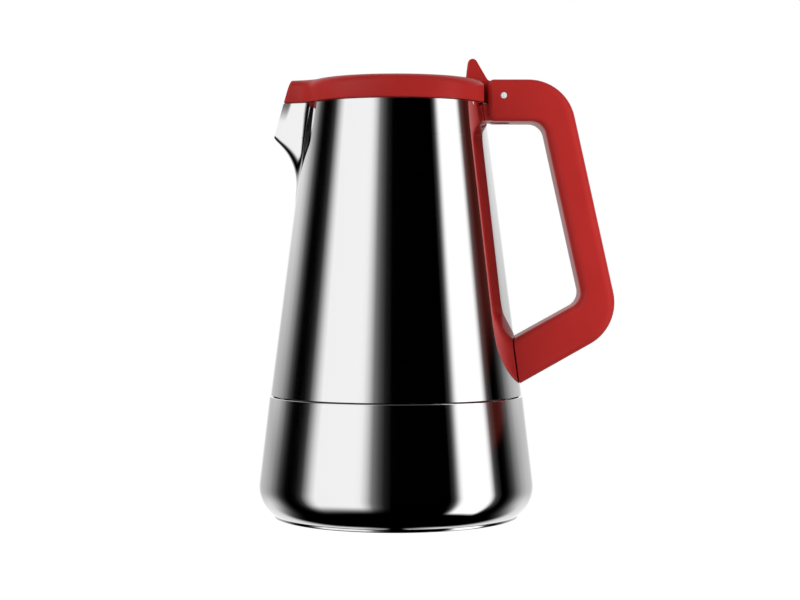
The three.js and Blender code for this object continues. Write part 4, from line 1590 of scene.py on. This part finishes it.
@dataclass
class Studio:
    """Camera, floor and light. Softboxes and dark flags stand around the pot as bands of the world.

    Attributes:
        distance: the camera's distance in front of the axis.
        height: the camera's height.
        pitch: how far it looks down, in degrees.
        yaw: how far it turns to the right, in degrees.
        lens: its focal length, in millimetres.
        front: levels of the bands in front, by bearing from the front towards +X.
        back: levels of the bands behind, the same on both sides.
        ceiling: level of the dim ceiling.
        painted_reflection_red: colour of the faint dark red band that the steel mirrors from the right, a
            painted reflection of the red handle.
        soft: levels of the soft light from the front left and from all round.
        soft_from: where the soft light comes from.
        soft_focus: how narrow it is, as a power of the cosine.
        glow: level that the floor adds to its own light, to the camera alone.
        lamps: the lamps.
    """

    distance: float = 0.740
    height: float = 0.1024
    pitch: float = 1.24
    yaw: float = 0.12
    lens: float = 83.25
    front: Stops = (
        (-97, 0.0), (-92, 0.003), (-88, 0.018), (-85, 0.052), (-80, 0.31), (-75, 0.69), (-70, 0.96),
        (-35, 0.975), (-30, 0.93), (-25, 0.62), (-20, 0.19), (-15, 0.07), (-10, 0.013), (-4, 0.0), (45, 0.0),
        (48.5, 0.03), (50.4, 0.13), (51.8, 0.30), (55.3, 0.93), (60, 1.3), (80, 1.3), (85, 0.98), (88, 0.45),
        (90, 0.09), (93, 0.03), (98, 0.0),
    )
    back: Stops = (
        (102, 0.0), (106, 0.004), (110, 0.026), (115, 0.088), (120, 0.235), (125, 0.36), (130, 0.52),
        (135, 0.60), (140, 0.705), (150, 0.79), (160, 0.87), (167, 0.98),
    )
    ceiling: float = 0.15
    painted_reflection_red: Colour = (0.059, 0.009, 0.0065)
    soft: tuple[float, float] = (2.9, 0.12)
    soft_from: tuple[float, float, float] = (-0.83, -0.52, 0.20)
    soft_focus: int = 5
    glow: float = 0.83
    lamps: tuple[Lamp, ...] = (
        Lamp("right_panel", (0.25, -0.12, 0.165), (0.03, 0.0, 0.11), (0.12, 0.25), 0.38),
    )

    def build(self) -> None:
        """Adds the camera, the floor, the world and the lamps."""
        self.add_camera()
        self.add_floor()
        self.add_world()
        for lamp in self.lamps:
            lamp.add()
        bpy.context.scene.view_settings.view_transform = "Standard"

    def add_camera(self) -> None:
        """A long lens in front of the pot, a little above its middle."""
        data = bpy.data.cameras.new("camera")
        data.lens, data.sensor_width = self.lens, 36.0
        camera = linked("camera", data)
        camera.location = (0, -self.distance, self.height)
        camera.rotation_euler = (math.radians(90 - self.pitch), 0, math.radians(-self.yaw))
        bpy.context.scene.camera = camera

    def add_floor(self) -> None:
        """Wide pale floor that shows white and keeps the pot's soft shadow."""
        half, level = 6.0, -1e-4
        mesh = bpy.data.meshes.new("floor")
        corners = [(-half, -half, level), (half, -half, level), (half, half, level), (-half, half, level)]
        mesh.from_pydata(corners, [], [(0, 1, 2, 3)])
        floor = linked("floor", mesh)
        floor.visible_glossy = False
        material = bpy.data.materials.new("floor")
        material.use_nodes = True
        graph = Graph(material.node_tree)
        lit = graph.add("ShaderNodeBsdfDiffuse", inputs={"Color": (0.5, 0.5, 0.5, 1)})
        glow = graph.add("ShaderNodeEmission", inputs={"Color": (1, 1, 1, 1), "Strength": self.glow})
        both = graph.add("ShaderNodeAddShader", inputs={0: lit, 1: glow})
        plain = graph.add("ShaderNodeBsdfDiffuse", inputs={"Color": (0.8, 0.8, 0.8, 1)})
        seen = graph.add("ShaderNodeLightPath", output="Is Camera Ray")
        shown = graph.add("ShaderNodeMixShader", inputs={0: seen, 1: plain, 2: both})
        graph.node("ShaderNodeOutputMaterial", inputs={"Surface": shown})
        mesh.materials.append(material)

    @staticmethod
    def ramp(graph: Graph, value: Value, stops: Stops, start: float, end: float) -> Value:
        """Levels by angle, between a first and a last angle, through a colour ramp."""
        places = [((angle - start) / (end - start), level) for angle, level in stops]
        return graph.add("ShaderNodeValToRGB", {"stops": places}, {0: (value - start) / (end - start)})

    def mirrored(self, graph: Graph, bearing: Value, rise: Value, x: Value) -> Value:
        """What the polished steel mirrors.

        The bands behind are dimmed near the horizon. All bands fade out below the floor's edge, the
        ones at the right and behind far lower, and a dim ceiling closes them above.

        Args:
            graph: the world's graph.
            bearing: bearing of the reflected ray from the front towards +X, in degrees.
            rise: its rise above the horizon, in degrees.
            x: its X.

        Returns:
            The level.
        """
        away = bearing.math("ABSOLUTE")
        front = self.ramp(graph, bearing, self.front, -100.0, 100.0)
        back = self.ramp(graph, away, self.back, 100.0, 180.0)
        dimmed = graph.hill(away, 100, 112, 155, 168) * graph.hill(rise, -20, -8, 0, 7.5) * (0.30 - 0.07 * x)
        bands = front + back * (1 - dimmed)
        above = graph.smooth_step(rise, 50, 75)
        right = graph.hill(bearing, 46, 50, 86, 93)
        behind = graph.hill(away, 132, 149, 167, 174)
        below = graph.smooth_step(rise, -50, -21) ** 2
        below_right = graph.smooth_step(rise, -49, -40)
        below_behind = graph.smooth_step(rise, -78, -62)
        reach = below + right * (below_right - below) + behind * (below_behind - below)
        return (bands * (1 - above) + self.ceiling * above) * reach

    def add_world(self) -> None:
        """White to the eye, soft on the surfaces, and banded in reflections, with a faint dark red band at
        the right that only the steel mirrors: a painted reflection of the red handle.
        """
        world = bpy.data.worlds.new("studio")
        bpy.context.scene.world = world
        world.use_nodes = True
        graph = Graph(world.node_tree)
        way = graph.add("ShaderNodeTexCoord", output="Generated")
        parts = graph.node("ShaderNodeSeparateXYZ", inputs={0: way})
        x, y, z = (Value(graph, parts.outputs[i]) for i in range(3))
        bearing = x.math("ARCTAN2", y * -1.0) * (180 / math.pi)
        rise = z.math("ARCSINE") * (180 / math.pi)
        mirrored = self.mirrored(graph, bearing, rise, x)
        left, around = self.soft
        from_x, from_y, from_z = self.soft_from
        from_left = (from_x * x + from_y * y + from_z * z).math("MAXIMUM", 0.0)
        soft = left * from_left ** self.soft_focus + around
        paths = graph.node("ShaderNodeLightPath")
        seen = Value(graph, paths.outputs["Is Camera Ray"])
        glossy = Value(graph, paths.outputs["Is Glossy Ray"])
        level = seen + (1 - seen) * (glossy * mirrored + (1 - glossy) * soft)
        # Painted reflection: a dark red band at the right, added to glossy rays only, stands in for the red
        # handle's reflection in the steel.
        painted_reflection_band = graph.hill(bearing, 85, 90, 110, 118) * graph.smooth_step(rise, 5.5, 8) * glossy * (1 - seen)
        plain = graph.add("ShaderNodeCombineColor", inputs={0: level, 1: level, 2: level})
        tinted = graph.add("ShaderNodeMix", {"data_type": "RGBA", "blend_type": "ADD"},
                           {0: painted_reflection_band, 6: plain, 7: (*self.painted_reflection_red, 1.0)}, output=2)
        shader = graph.add("ShaderNodeBackground", inputs={"Color": tinted, "Strength": 1.0})
        graph.node("ShaderNodeOutputWorld", inputs={"Surface": shader})


# ---------------------------------------------------------------- the pot


def main() -> None:
    """Builds the studio and the pot's assemblies in order."""
    logging.basicConfig(level=logging.INFO, format="%(name)s: %(message)s")
    Studio().build()
    collector = Collector()
    assemblies = [Base(), SafetyValve(), Filter(), collector, Handle(collector), Lid(collector.spout)]
    for assembly in assemblies:
        log.info("building %s", type(assembly).__name__)
        assembly.build()


if __name__ == "__main__":
    main()
